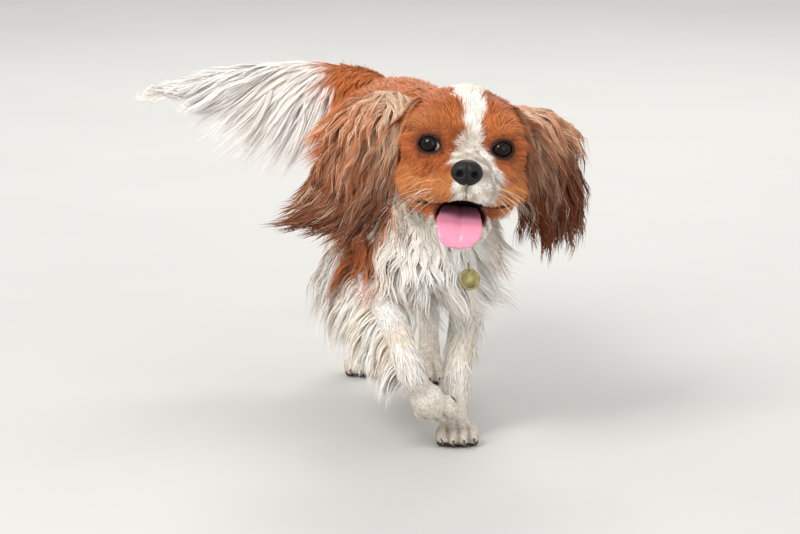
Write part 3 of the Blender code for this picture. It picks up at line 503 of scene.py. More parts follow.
def coat_colours(points, part):
    """The coat's colour at body-frame points: white ground with chestnut patches, and how golden or dark.

    The patches are half spaces and ellipsoids with rippled edges; part says which form each point is on.
    """
    look = settings()
    names = ("white", "cream", "chestnut", "dark_chestnut", "gold", "pale_gold")
    white, cream, chestnut, dark, gold, blond = (np.array(getattr(look, name)) for name in names)
    x, y, z = points.T
    soft = ripples(points, 0.05, 3)
    fine = ripples(points, 0.012, 4)
    grain = ripples(points, 0.005, 5)
    rim = 0.01 * soft + 0.004 * fine + 0.002 * grain

    red = mixed(chestnut, dark, np.clip(0.28 + 0.35 * soft + 0.22 * fine, 0, 1))
    red = mixed(red, gold, np.clip(0.12 + 0.25 * fine + 0.15 * grain, 0, 0.6))
    pale = mixed(white, cream, np.clip(0.22 + 0.35 * soft + 0.25 * fine, 0, 1))
    # The ruff under the chin: cream locks, darkened towards cream times 0.66 as painted shade under the chin.
    shaded_ruff = step(0.07, 0.03, y) * step(0.185, 0.205, z) * step(0.285, 0.255, z)
    pale = mixed(pale, cream, 0.6 * step(0.06, 0.025, z + rim))
    pale = mixed(pale, cream * 0.66, np.clip(shaded_ruff * (0.55 + 0.7 * fine), 0, 0.9))

    # Torso and neck: a chestnut saddle that runs down the shoulder, and a white front and belly.
    saddle = step(-0.006, 0.006, z - (0.158 + 0.018 * np.sin(y * 21)) + rim)
    front = step(-0.008, 0.008, 0.022 - y - 1.2 * np.abs(x - 0.01) + 0.35 * (z - 0.15) + rim)
    throat = step(-0.006, 0.006, 0.056 - np.abs(x - 0.01) + rim) * step(0.262, 0.25, z + rim)
    strip = step(0.006, -0.006, np.hypot((x + 0.062) / 0.6, (y - 0.005) / 0.9) - 0.028 + rim)
    strip *= step(0.126, 0.14, z + rim)
    body_red = np.maximum(saddle * (1 - front * throat), strip)
    nape = step(0.002, -0.002, np.hypot(x + 0.034, (y - 0.03) * 0.6) - 0.01 + rim * 0.3)
    body_red *= 1 - nape * step(0.26, 0.27, z)

    # Tail: white with a chestnut root.
    tail_red = step(-0.049, -0.04, x + 0.4 * rim)

    # Head: a blaze that narrows between the eyes and widens over the muzzle.
    local = head_local(points)
    u, v, w = local.T
    rise = (-0.045, -0.035, -0.0215, -0.0065, 0.0075, 0.028, 0.045)
    half = np.interp(w, rise, (0.0155, 0.0182, 0.018, 0.0167, 0.0039, 0.008, 0.013))
    middle = np.interp(w, rise, (0.0057, 0.0055, 0.008, 0.004, 0.0037, 0.0033, 0.0011))
    edge = np.abs(u - middle) - half + 0.25 * rim
    blaze = step(0.0022, -0.0022, edge) * step(0.088, 0.07, v)
    chin = step(-0.056, -0.062, w + 0.3 * rim) * step(0.075, 0.055, v)
    head_red = 1 - np.maximum(blaze, chin)
    cheek = step(0.006, 0.028, -w) * step(0.024, 0.036, np.abs(u))
    brow = step(0.009, 0.014, w) * step(0.026, 0.018, w) * step(0.04, 0.032, np.abs(u))
    temple = step(0.026, 0.044, np.abs(u)) * step(0.0, 0.02, w)
    stop = step(0.016, 0.01, np.abs(u)) * step(0.016, 0.004, w) * step(-0.02, -0.006, w)
    head = mixed(chestnut, dark, np.clip(0.26 + 0.22 * soft + 0.2 * fine, 0, 1))
    head = mixed(head, gold, np.clip(0.65 * cheek + 0.3 * brow + 0.35 * temple + 0.15 * fine, 0, 0.8))
    head = mixed(head, dark, 0.45 * stop)
    head = mixed(head, dark, 0.9 * step(1.6, 1.15, eye_share(local)))
    under = step(-0.01, -0.013, w) * step(-0.024, -0.018, w) * step(0.04, 0.034, np.abs(u))
    head = mixed(head, dark, 0.45 * under * step(0.3, 0.8, np.abs(ripples(local, 0.01, 61))))
    for stations in EARS.values():
        by_ear = step(0.03, 0.014, distance(points, stations[0][:3]))
        head = mixed(head, blond, np.clip(by_ear * (0.75 + 0.6 * fine), 0, 0.95))
    muzzle_side = step(0.01, -0.004, v) * step(-0.018, -0.028, w)
    head = mixed(head, gold, 0.6 * muzzle_side)

    # Ears: pale gold at the top, auburn below and outwards, and darker towards the bottom; the left ear,
    # which faces away from the key light, also carries painted shade over its lower and outer hair.
    right = x < 0
    outer = np.where(right, step(0.044, 0.06, -x), step(0.076, 0.092, x))
    fall = np.where(right, step(0.25, 0.222, z + 0.5 * rim), step(0.256, 0.232, z + 0.5 * rim))
    fall = np.maximum(fall, outer)
    ear = mixed(mixed(gold, blond, 0.92), mixed(chestnut * 0.8, gold, 0.16), fall)
    ear = mixed(ear, chestnut, np.clip(1.3 * fine + 0.9 * grain - 0.4, 0, 0.4) * (1 - fall))
    low = np.where(right, step(0.236, 0.188, z + 2 * rim), step(0.262, 0.205, z + 2 * rim))
    # Darker towards the bottom and in ripples, plus painted shade on the left ear's lower and outer hair, on
    # the side away from the key light.
    shaded = 0.95 * low + 0.25 * soft + np.where(x > 0.02, 0.3 * fall, 0.06)
    ear = mixed(ear, dark, np.clip(shaded, 0, 0.96))
    ear = mixed(ear, blond, np.clip(0.65 * fine + 0.35 * grain - 0.25, 0, 0.45))
    # Darker again towards the bottom of both ears.
    ear = ear * (1 - 0.3 * low[:, None])

    choices = {
        "body": mixed(pale, red, body_red),
        "leg": mixed(pale, red, body_red * step(0.118, 0.13, z)),
        "head": mixed(pale, head, head_red),
        "ear": ear,
        "tail": mixed(mixed(pale, white, 0.7), red, tail_red),
        # Paws: pale with a little cream, and painted shade (cream times 0.35) on the lines between the toes.
        "paw": mixed(mixed(pale, cream, 0.1), cream * 0.35, 0.6 * toe_gaps(points)),
    }
    found = np.zeros_like(points)
    for name, colours in choices.items():
        chosen = part == name
        found[chosen] = colours[chosen]
    return np.clip(found, 0, 1)


# The forms of the flesh in their order, and the kind of coat on each.
KINDS = {
    "trunk": "body",
    "neck": "body",
    "head": "head",
    "jaw": "head",
    "ear_right": "ear",
    "ear_left": "ear",
    "tail": "tail",
    **{name: "leg" for name in LIMBS},
    "fore_paw_right": "paw",
    "fore_paw_left": "paw",
    "hind_paw_right": "paw",
    "hind_paw_left": "paw",
}


def flesh_forms():
    """Each named form of the flesh, inside the solids by the coat's depth there."""
    look = settings()
    level = (1, 0, 0)
    depth, shallow = look.coat_depth, look.face_depth
    thighs = [ball(middle, np.array(half) - depth) for middle, half in THIGHS]
    forms = {
        "trunk": together([loft(TRUNK, level, 40, 36, depth), *thighs]),
        "neck": loft(NECK, level, 20, 28, depth),
    }
    pieces = [ball(middle, np.array(half) - shallow, 20, 32) for middle, half in SKULL]
    for (x, y, z), half in HEAD_PAIRS:
        pieces += [ball((side * x, y, z), np.array(half) - shallow) for side in SIDES]
    pieces += [ball(eye_axes(side)[0], (EYE_RADIUS + 0.0016,) * 3) for side in SIDES]
    pieces.append(loft(MUZZLE, level, 20, 32, shallow))
    forms["head"] = on_head(together(pieces))
    forms["jaw"] = on_head(loft(JAW, level, 24, 28, shallow))
    for name, side in (("ear_right", -1), ("ear_left", 1)):
        forms[name] = loft(EARS[side], EAR_ACROSS[side], 24, 32, 0.0, -0.2 * side, 0.62)
    forms["tail"] = loft(TAIL, (0, 0, 1), 40, 16, 0.0035)
    for name, stations in LIMBS.items():
        forms[name] = loft(stations, level, 30, 24, look.leg_depth)
    size = (PAW_HALF_WIDTH * 0.8, PAW_HALF_LENGTH * 0.76, PAW_HEIGHT * 0.48)
    for name in PAWS:
        pieces = [ball((0, 0.004, PAW_HEIGHT * 0.46), size)]
        pieces += [ball((x, -reach, PAW_HEIGHT * 0.34), (0.0048, 0.0104, 0.0084)) for x, reach in TOES]
        corners, faces = together(pieces)
        corners[:, 2] = np.maximum(corners[:, 2], 0.0006)
        forms[name] = on_paw(name, (corners, faces))
    return forms


def eye_axes(side):
    """Middle of an eye, and its directions ahead and across, in the head's own frame."""
    lean = side * EYE_SPLAY
    ahead = np.array((math.sin(lean), -math.cos(lean), 0))
    across = np.array((math.cos(lean), math.sin(lean), 0))
    return np.array((side * EYE_APART, EYE_DEPTH, 0.0)), ahead, across


def almond(side, count):
    """The opening between the lids, seen along the line of sight: at angle a it is cos a wide and sin a
    high, drawn out at the corners, and its inner corner hangs a little.
    """
    angle = circle(count)
    opening = settings().eye_opening
    across = eye_axes(side)[2]
    inner = np.clip(-side * np.cos(angle), 0, 1)
    wide = opening * np.cos(angle) * (1 + 0.1 * inner**3)
    high = opening * 0.8 * np.sin(angle) * (1 - 0.22 * np.cos(angle) ** 2) - 0.0013 * inner**2
    return across * wide[:, None] + np.array((0, 0, 1)) * high[:, None], angle


def eye_cutter(side):
    """Corners and faces of a column with the almond's outline along the eye's line of sight."""
    middle, ahead, _ = eye_axes(side)
    flat = middle + almond(side, 48)[0]
    corners = np.concatenate([flat, flat + ahead * 0.03, [middle, middle + ahead * 0.03]])
    return on_head((corners, tube_faces(2, 48)))


def mouth_edges(ahead):
    """Heights of the upper and the lower lip's edge at that distance along the head."""
    at = (-0.05, -0.03, -0.016, -0.006, 0.004, 0.012, 0.02)
    upper = np.interp(ahead, at, (-0.044, -0.045, -0.0465, -0.047, -0.0462, -0.0445, -0.0422))
    lower = np.interp(ahead, at, (-0.068, -0.066, -0.0625, -0.059, -0.0545, -0.049, -0.0428))
    return upper, lower


def mouth_wedge(side):
    """Corners and faces of the gap between the lips on one side, from the cheek's inside outwards."""
    ahead = np.linspace(-0.03, MOUTH_BACK, 26)
    upper, lower = mouth_edges(ahead)
    near, far = side * 0.014, side * 0.05
    section = ((near, lower), (far, lower), (far, upper), (near, upper))
    rings = np.stack([np.stack([np.full(26, x), ahead, z], 1) for x, z in section], axis=1)
    ends = [rings[0].mean(0), rings[-1].mean(0)]
    return on_head((np.concatenate([rings.reshape(-1, 3), ends]), tube_faces(26, 4)))


def cut_from(target, cutters):
    """Cuts closed meshes out of the target and removes them."""
    for cutter in cutters:
        modifier = target.modifiers.new("cut", "BOOLEAN")
        modifier.operation = "DIFFERENCE"
        modifier.solver = "MANIFOLD"
        modifier.object = cutter
    applied(target)
    for cutter in cutters:
        mesh = cutter.data
        bpy.data.objects.remove(cutter)
        bpy.data.meshes.remove(mesh)


# The skin's corners, normals, faces, areas, middles, forms and search tree, once it is made.
SKIN = {}


def read_out(items, key, kind=np.float32):
    """A three-part property of every item as one array."""
    values = np.empty(len(items) * 3, kind)
    items.foreach_get(key, values)
    return values.reshape(-1, 3)


def nearest(points, places):
    """The number of the point that is nearest to each place."""
    tree = KDTree(len(points))
    for index, point in enumerate(points):
        tree.insert(point, index)
    tree.balance()
    return np.array([tree.find(place)[1] for place in places])


def read_skin(mesh, forms):
    """Keeps the skin's triangles, their areas and normals, and the form that each lies on."""
    mesh.calc_loop_triangles()
    corners = read_out(mesh.vertices, "co").astype(float) - SHIFT
    faces = read_out(mesh.loop_triangles, "vertices", np.int32)
    points = np.concatenate([forms[name][0] for name in KINDS])
    owners = np.concatenate([np.full(len(forms[name][0]), k) for k, name in enumerate(KINDS)])
    owner = owners[nearest(points, corners)]
    a, b, c = (corners[faces[:, k]] for k in range(3))
    SKIN.update(
        corners=corners,
        normals=read_out(mesh.vertices, "normal").astype(float),
        faces=faces,
        areas=np.linalg.norm(np.cross(b - a, c - a), axis=1) / 2,
        middles=(a + b + c) / 3,
        owner=owner,
        face_owner=owner[faces[:, 0]],
        tree=BVHTree.FromPolygons(corners.tolist(), faces.tolist()),
    )


def kinds(owner):
    """The kind of coat on each form, by the form's number."""
    return np.array(list(KINDS.values()))[owner]


def mouth_gap(local):
    """How far points lie outside the open mouth, in metres: the nearer of the ellipsoid and the lips' gap."""
    middle, half_sizes = MOUTH
    share = np.linalg.norm((local - middle) / half_sizes, axis=1)
    inner = (share - 1) * 0.015
    upper, lower = mouth_edges(local[:, 1])
    gap = np.maximum(local[:, 2] - upper, lower - local[:, 2])
    gap = np.maximum(gap, local[:, 1] - MOUTH_BACK)
    gap = np.maximum(gap, 0.012 - np.abs(local[:, 0]))
    return np.where(local[:, 1] < 0.035, np.minimum(inner, gap), 0.05)


def eye_share(local):
    """How far points lie from the nearer eye's line of sight, as a share of the opening between its lids."""
    found = np.full(len(local), 9.0)
    wide = settings().eye_opening + 0.0008
    for side in SIDES:
        middle, ahead, across = eye_axes(side)
        offset = local - middle
        share = np.hypot(offset @ across / wide, offset[:, 2] / (wide * 0.84))
        near = (offset @ ahead > -0.004) & (distance(local, middle) < 0.025)
        found = np.where(near, np.minimum(found, share), found)
    return found


def from_eye(local):
    """Unit vectors away from the nearer eye's line of sight, square to it."""
    found = np.zeros_like(local)
    for side in SIDES:
        middle, ahead, _ = eye_axes(side)
        offset = local - middle
        flat = unit(offset - np.outer(offset @ ahead, ahead))
        near = local[:, 0] * side > 0
        found[near] = flat[near]
    return found


# Materials


def new_material(name):
    """A new material, its tree and its shader."""
    made = bpy.data.materials.new(name)
    made.use_nodes = True
    tree = made.node_tree
    return made, tree, tree.nodes["Principled BSDF"]


def put(node, values):
    """Sets the values of a node's sockets by their names."""
    for key, value in values.items():
        node.inputs[key].default_value = value


def add(tree, kind, inputs=None, **values):
    """A node with its properties and the values of its sockets set."""
    node = tree.nodes.new(kind)
    for key, value in values.items():
        setattr(node, key, value)
    put(node, inputs or {})
    return node


def new_group(name, numbers, coloured=False):
    """An empty shared group that takes numbers, and a colour if coloured, and gives a colour and a height."""
    group = bpy.data.node_groups.new(name, "ShaderNodeTree")
    face = group.interface
    if coloured:
        face.new_socket("Colour", in_out="INPUT", socket_type="NodeSocketColor")
    for key, value in numbers.items():
        face.new_socket(key, in_out="INPUT", socket_type="NodeSocketFloat").default_value = value
    face.new_socket("Colour", in_out="OUTPUT", socket_type="NodeSocketColor")
    face.new_socket("Height", in_out="OUTPUT", socket_type="NodeSocketFloat")
    return group, group.nodes.new("NodeGroupInput").outputs


def noise_group():
    """Shared effect: a colour lightened and darkened by noise from Low to High, and the noise as a height."""
    group = bpy.data.node_groups.get("fine_variation")
    if group:
        return group
    group, given = new_group("fine_variation", {"Scale": 400.0, "Low": 0.75, "High": 1.2}, coloured=True)
    place = group.nodes.new("ShaderNodeTexCoord")
    noise = add(group, "ShaderNodeTexNoise", {"Detail": 4.0})
    group.links.new(place.outputs["Object"], noise.inputs["Vector"])
    group.links.new(given["Scale"], noise.inputs["Scale"])
    tinted(group, given["Colour"], noise.outputs["Fac"], given)
    return group


def tinted(group, colour, height, limits):
    """Ends a group: the colour times height spread from Low to High, and the height itself."""
    spread = add(group, "ShaderNodeMapRange", {"From Min": 0.3, "From Max": 0.7})
    grey = group.nodes.new("ShaderNodeCombineColor")
    mix = add(group, "ShaderNodeMix", {"Factor": 1.0}, data_type="RGBA", blend_type="MULTIPLY")
    leave = group.nodes.new("NodeGroupOutput")
    link = group.links.new
    link(height, spread.inputs["Value"])
    link(limits["Low"], spread.inputs["To Min"])
    link(limits["High"], spread.inputs["To Max"])
    for channel in ("Red", "Green", "Blue"):
        link(spread.outputs["Result"], grey.inputs[channel])
    link(colour, mix.inputs["A"])
    link(grey.outputs["Color"], mix.inputs["B"])
    link(mix.outputs["Result"], leave.inputs["Colour"])
    link(height, leave.inputs["Height"])


def streak_group():
    """Shared effect: the coat's colour with fine streaks along each tuft, and the streaks as a height.

    The streaks are noise over the attribute strand, which holds the place across a tuft, along it, and a
    number of its own, stretched so that it changes fast across and slowly along.
    """
    group = bpy.data.node_groups.get("hair_streaks")
    if group:
        return group
    group, given = new_group("hair_streaks", {"Low": 0.8, "High": 1.1})
    colour = add(group, "ShaderNodeAttribute", attribute_name="coat")
    strand = add(group, "ShaderNodeAttribute", attribute_name="strand")
    size = add(group, "ShaderNodeMapping", {"Scale": (5.0, 1.4, 60.0)})
    noise = add(group, "ShaderNodeTexNoise", {"Scale": 1.0, "Detail": 2.0})
    group.links.new(strand.outputs["Vector"], size.inputs["Vector"])
    group.links.new(size.outputs["Vector"], noise.inputs["Vector"])
    tinted(group, colour.outputs["Color"], noise.outputs["Fac"], given)
    return group


def lead(tree, shader, colour, height, strength, depth, invert=False):
    """Leads a colour and, through a bump, a height to the shader."""
    rise = add(tree, "ShaderNodeBump", {"Strength": strength, "Distance": depth}, invert=invert)
    tree.links.new(colour, shader.inputs["Base Color"])
    tree.links.new(height, rise.inputs["Height"])
    tree.links.new(rise.outputs["Normal"], shader.inputs["Normal"])


def varied(tree, shader, group, values, strength, depth):
    """Places a shared group with its own values, and leads its colour and its relief to the shader."""
    vary = add(tree, "ShaderNodeGroup", node_tree=group)
    put(vary, values)
    lead(tree, shader, vary.outputs["Colour"], vary.outputs["Height"], strength, depth)
    return vary


def shaded_ramp(tree, colour, *ends):
    """A ramp between shades of a colour, from the place and the brightness of each end."""
    ramp = add(tree, "ShaderNodeValToRGB")
    for element, (place, bright) in zip(ramp.color_ramp.elements, ends):
        element.position = place
        element.color = (*(channel * bright for channel in colour), 1)
    return ramp


def coat_material(name, roughness, low, high):
    """Hair: the marking's colour streaked from low to high, with a soft silky gloss."""
    made, tree, shader = new_material(name)
    varied(tree, shader, streak_group(), {"Low": low, "High": high}, 0.35, 0.0004)
    put(shader, {"Roughness": roughness, "Specular IOR Level": 0.16})
    put(shader, {"Sheen Weight": 0.06, "Sheen Roughness": 0.4})
    return made


def skin_material():
    """Skin under the coat: the same markings, with a fur-like bump, and wet where the alpha says so."""
    made, tree, shader = new_material("coat_skin")
    colour = add(tree, "ShaderNodeAttribute", attribute_name="coat")
    vary = varied(tree, shader, noise_group(), {"Scale": 420.0, "Low": 0.76, "High": 1.18}, 0.6, 0.001)
    tree.links.new(colour.outputs["Color"], vary.inputs["Colour"])
    wet = add(tree, "ShaderNodeMapRange", {"To Min": 0.75, "To Max": 0.28})
    tree.links.new(colour.outputs["Alpha"], wet.inputs["Value"])
    tree.links.new(wet.outputs["Result"], shader.inputs["Roughness"])
    put(shader, {"Specular IOR Level": 0.25})
    return made


def plain_material(
    name, colour, roughness, scale, bump, depth=0.0003, spread=(0.75, 1.2), gloss=0.5, metallic=0.0, coat=0.0
):
    """A finish whose colour and relief vary by noise on the object's own coordinates."""
    made, tree, shader = new_material(name)
    low, high = spread
    values = {"Colour": (*colour, 1), "Scale": scale, "Low": low, "High": high}
    varied(tree, shader, noise_group(), values, bump, depth)
    put(shader, {"Roughness": roughness, "Metallic": metallic, "Specular IOR Level": gloss})
    put(shader, {"Coat Weight": coat, "Coat Roughness": 0.08})
    return made


def leather_material(name, colour, roughness, scale, bump, depth):
    """Bare leather of nose and pads: cells on the object's own coordinates, darker between the bumps."""
    made, tree, shader = new_material(name)
    place = add(tree, "ShaderNodeTexCoord")
    cells = add(tree, "ShaderNodeTexVoronoi", {"Scale": scale})
    ramp = shaded_ramp(tree, colour, (0.25, 0.75), (0.75, 1.2))
    tree.links.new(place.outputs["Object"], cells.inputs["Vector"])
    tree.links.new(cells.outputs["Distance"], ramp.inputs["Fac"])
    lead(tree, shader, ramp.outputs["Color"], cells.outputs["Distance"], bump, depth)
    put(shader, {"Roughness": roughness, "Specular IOR Level": 0.3})
    return made


def weave_material(colour):
    """Webbing: the cells of a grid along the band's own map make the weave's height and shade."""
    made, tree, shader = new_material("collar_webbing")
    place = add(tree, "ShaderNodeUVMap", uv_map="weave")
    size = add(tree, "ShaderNodeMapping", {"Scale": (150.0, 26.0, 1.0)})
    grid = {"voronoi_dimensions": "2D", "distance": "CHEBYCHEV"}
    checks = add(tree, "ShaderNodeTexVoronoi", {"Scale": 1.0, "Randomness": 0.15}, **grid)
    ramp = shaded_ramp(tree, colour, (0.0, 1.25), (0.6, 0.55))
    tree.links.new(place.outputs["UV"], size.inputs["Vector"])
    tree.links.new(size.outputs["Vector"], checks.inputs["Vector"])
    tree.links.new(checks.outputs["Distance"], ramp.inputs["Fac"])
    lead(tree, shader, ramp.outputs["Color"], checks.outputs["Distance"], 0.8, 0.0004, invert=True)
    put(shader, {"Roughness": 0.8})
    return made


# Coat


def chosen_roots(weight, count, random):
    """Points spread over the skin's triangles by area times weight, with their normals and forms."""
    share = SKIN["areas"] * weight
    picked = random.choice(len(share), count, p=share / share.sum())
    a, b = random.random((2, count))
    over = a + b > 1
    a[over], b[over] = 1 - a[over], 1 - b[over]
    spread = np.stack([1 - a - b, a, b], axis=1)[..., None]
    faces = SKIN["faces"][picked]
    points = (SKIN["corners"][faces] * spread).sum(1)
    normals = unit((SKIN["normals"][faces] * spread).sum(1))
    return points, normals, SKIN["face_owner"][picked]


def unwrapped(points, owner):
    """Each root's place on the skin's unwrap: a cell for each form, the angle round it, the way along it."""
    found = np.zeros((len(points), 2))
    for index in np.unique(owner):
        chosen = owner == index
        corners = SKIN["corners"][SKIN["owner"] == index]
        middle = corners.mean(0)
        _, _, axes = np.linalg.svd(corners[::7] - middle, full_matrices=False)
        flat = (points[chosen] - middle) @ axes.T
        whole = (corners - middle) @ axes.T
        low, high = whole[:, 0].min(), whole[:, 0].max()
        around = np.arctan2(flat[:, 2], flat[:, 1]) / math.tau + 0.5
        along = (flat[:, 0] - low) / (high - low)
        cell = np.array((index % CELLS, index // CELLS)) / CELLS
        found[chosen] = cell + np.stack([around, along], axis=1) * CELL_SIZE + CELL_MARGIN
    return found


def combed(roots, normals, lie, later, length, wave, waves, phase, lift):
    """Paths of guide locks over the skin. At share s of the length a lock heads along lie turned towards
    later, with a sideways sine wave, and is held lift times s above the skin.
    """
    count = len(roots)
    heading = unit(lie)
    side = unit(np.cross(heading, normals))
    path = np.empty((count, COMB_STEPS + 1, 3))
    path[:, 0] = roots
    place = roots
    tree = SKIN["tree"]
    for at in range(1, COMB_STEPS + 1):
        share = at / COMB_STEPS
        heading = unit(mixed(lie, later, share**1.2))
        sway = np.cos(phase + share * waves * math.tau) * wave
        ahead = unit(heading + side * sway[:, None])
        place = place + ahead * (length / COMB_STEPS)[:, None]
        high = np.broadcast_to(lift * share, count)
        for index in range(count):
            near, normal, _, far = tree.find_nearest(Vector(place[index]))
            gap = (Vector(place[index]) - near).dot(normal)
            if gap < high[index] and far < COMB_REACH:
                place[index] = near + normal * high[index]
        place[:, 2] = np.maximum(place[:, 2], GUIDE_FLOOR)
        path[:, at] = place
    return path


def read_between(path, places):
    """The points at the places along each row of path, by straight pieces between its points."""
    low = np.minimum(places.astype(int), path.shape[1] - 2)
    part = (places - low)[..., None]
    rows = np.arange(len(path))[:, None]
    return path[rows, low] * (1 - part) + path[rows, low + 1] * part


def tuft_mesh(name, paths, normals, widths, roots_colour, tips_colour, places):
    """One mesh of tufts. Each has three-sided rings along its path, wide in the middle, and ends in a point.

    A ring lies across the path: two corners half a width to the sides and one TUFT_HEIGHT widths outward.
    """
    count, rings = paths.shape[0], paths.shape[1] - 1
    along = unit(np.gradient(paths, axis=1))[:, :rings]
    across = unit(np.cross(along, normals[:, None]))
    outwards = np.cross(across, along)
    share = np.arange(rings) / rings
    taper = (0.55 + 1.6 * share) * (1 - share) ** 0.85
    half = (widths[:, None] * np.minimum(taper, 1.0) / 2)[..., None]
    middle = paths[:, :rings]
    three = [middle - across * half, middle + across * half, middle + outwards * (half * 2 * TUFT_HEIGHT)]
    corners = np.stack(three, axis=2).reshape(count, rings * 3, 3)
    corners = np.concatenate([corners, paths[:, -1:]], axis=1)
    each = rings * 3 + 1
    pattern = [(0, 1, 2)]
    for first in range(0, (rings - 1) * 3, 3):
        for side in range(3):
            after = (side + 1) % 3
            pattern.append((first + side, first + 3 + side, first + 3 + after))
            pattern.append((first + side, first + 3 + after, first + after))
    last = (rings - 1) * 3
    pattern += [(last + side, last + 3, last + (side + 1) % 3) for side in range(3)]
    pattern = outward((corners[0], np.array(pattern)))[1]
    faces = (np.arange(count)[:, None, None] * each + pattern).reshape(-1, 3)
    made = mesh_object(name, corners.reshape(-1, 3) + SHIFT, faces, smooth=False)
    beside = np.append(np.tile([0.0, 1.0, 0.5], rings), 0.5)
    toward = np.append(np.repeat(share, 3), 1.0)
    shares = np.broadcast_to(toward, (count, each))
    colour_attribute(made.data, mixed(roots_colour[:, None], tips_colour[:, None], shares).reshape(-1, 3))
    strand = np.empty((count, each, 3), np.float32)
    strand[..., 0] = beside
    strand[..., 1] = toward
    strand[..., 2] = ripples(paths[:, 0], 0.0011, STRAND_SEED)[:, None]
    layer = made.data.attributes.new("strand", "FLOAT_VECTOR", "POINT")
    layer.data.foreach_set("vector", strand.ravel())
    patch = np.stack([beside, toward], axis=1) * BAKE_PATCH
    uv_map(made.data, "OFBake", (places[:, None] + patch).reshape(-1, 2), faces)
    return made


def tuft_colours(points, ends, owner, random):
    """Colours at root and tip: the marking's colour, with painted shade at the roots in the depth of the
    coat, and varied tuft by tuft.

    The tips of ear locks take the marking of the place they hang to, since they are long.
    """
    part = kinds(owner)
    base = coat_colours(points, part)
    far = np.where((part == "ear")[:, None], coat_colours(ends, part), base)
    streak = 0.6 * random.random(len(points)) ** 3 * (part == "ear")
    blond = np.array(settings().pale_gold)
    base, far = (mixed(some, blond, streak * step(0.15, 0.5, some[:, 0])) for some in (base, far))
    paleness = np.clip(base[:, 2:] * 1.6, 0, 1)
    spread = mixed(0.17, 0.05, paleness)
    shade = 1 + random.normal(0, 1, (len(points), 1)) * spread
    shade = shade * (1 + random.normal(0, 0.012, (len(points), 3)))
    base, far = (np.clip(some * shade, 0.002, 0.96) for some in (base, far))
    # Painted shade at the roots: dark coat falls to 0.6 of its colour there and pale coat to 0.98 with a warm
    # cream tint, as shade deep in white hair looks; the tips are a little brighter.
    roots = base * (0.6 + 0.38 * paleness) * mixed((1, 1, 1), (1.0, 0.965, 0.91), paleness[:, 0])
    return roots, np.clip(far * 1.04, 0, 0.96)


def long_coat(name, weight, field, count, guides, seed, rings=4, clump=0.5):
    """A piece of long coat: guide locks combed over the skin, and tufts that gather towards their guide.

    A tuft keeps its guide's path, offset by the distance of their roots, which shrinks towards the tips.
    """
    random = np.random.default_rng(seed)
    count = int(count * settings().density)
    roots, normals, _ = chosen_roots(weight, guides, random)
    lie, later, length, wave, waves, lift = field(roots, normals)
    length = length * random.uniform(0.74, 1.14, guides)
    phase = ripples(roots, 0.03, seed) * 3 + random.uniform(0, 0.8, guides)
    flow = three_ripples(roots, 0.03, seed)
    lie = lie + 0.12 * flow + random.normal(0, 0.05, (guides, 3))
    later = later + 0.18 * flow + random.normal(0, 0.08, (guides, 3))
    paths = combed(roots, normals, unit(lie), unit(later), length, wave, waves, phase, lift)
    points, outs, owners = chosen_roots(weight, count, random)
    guide = nearest(roots, points)
    short = random.uniform(0.55, 1.0, count)
    loose = random.random(count) < LOOSE_SHARE
    evenly = np.broadcast_to(np.linspace(0, COMB_STEPS, COMBED_ROWS), (guides, COMBED_ROWS))
    path = read_between(paths, evenly)[guide]
    mine = read_between(path, short[:, None] * np.linspace(0, COMBED_ROWS - 1, rings + 1))
    share = np.linspace(0, 1, rings + 1)
    gather = np.where(loose, 0.1, clump * random.uniform(0.6, 1.25, count))
    offset = (points - roots[guide])[:, None] * (1 - gather[:, None] * share**0.8)[..., None]
    frizz = random.normal(0, 1, (count, 1, 3)) * (share**1.5)[:, None]
    mine = mine + offset + frizz * np.where(loose, 0.0032, 0.0009)[:, None, None]
    mine[:, 0] -= outs * LONG_SUNK
    mine[:, :, 2] = np.maximum(mine[:, :, 2], FLOOR_GAP)
    dark, light = tuft_colours(points, mine[:, -1], owners, random)
    width = settings().lock_width * random.uniform(0.6, 1.3, count) * np.where(loose, 0.45, 1)
    return tuft_mesh(name, mine, outs, width, dark, light, unwrapped(points, owners))


def short_coat(name, weight, field, count, seed):
    """A piece of short coat: tufts that leave the skin at a slant and lie down along it.

    At share s a tuft is s of its length along its lie, raised by its lift times s less half s squared.
    """
    random = np.random.default_rng(seed)
    points, normals, owners = chosen_roots(weight, count, random)
    lie, length, lift, width = field(points, normals)
    lie = lie + 0.28 * three_ripples(points, 0.012, seed) + random.normal(0, 0.1, (count, 3))
    lie = unit(lie - normals * np.einsum("ij,ij->i", lie, normals)[:, None])
    length = length * random.uniform(0.7, 1.25, count) * (1 + 0.2 * ripples(points, 0.02, seed + 9))
    share = np.linspace(0, 1, SHORT_RINGS + 1)[:, None]
    bend = unit(np.cross(lie, normals)) * (ripples(points, 0.008, seed + 5) * 0.18)[:, None]
    rise = normals[:, None] * (lift[:, None, None] * (share - 0.5 * share**2))
    paths = points[:, None] + length[:, None, None] * (lie[:, None] * share + rise + bend[:, None] * share**2)
    paths[:, 0] -= normals * SHORT_SUNK
    paths[:, :, 2] = np.maximum(paths[:, :, 2], FLOOR_GAP)
    dark, light = tuft_colours(points, paths[:, -1], owners, random)
    width = width * random.uniform(0.7, 1.3, count)
    return tuft_mesh(name, paths, normals, width, dark, light, unwrapped(points, owners))


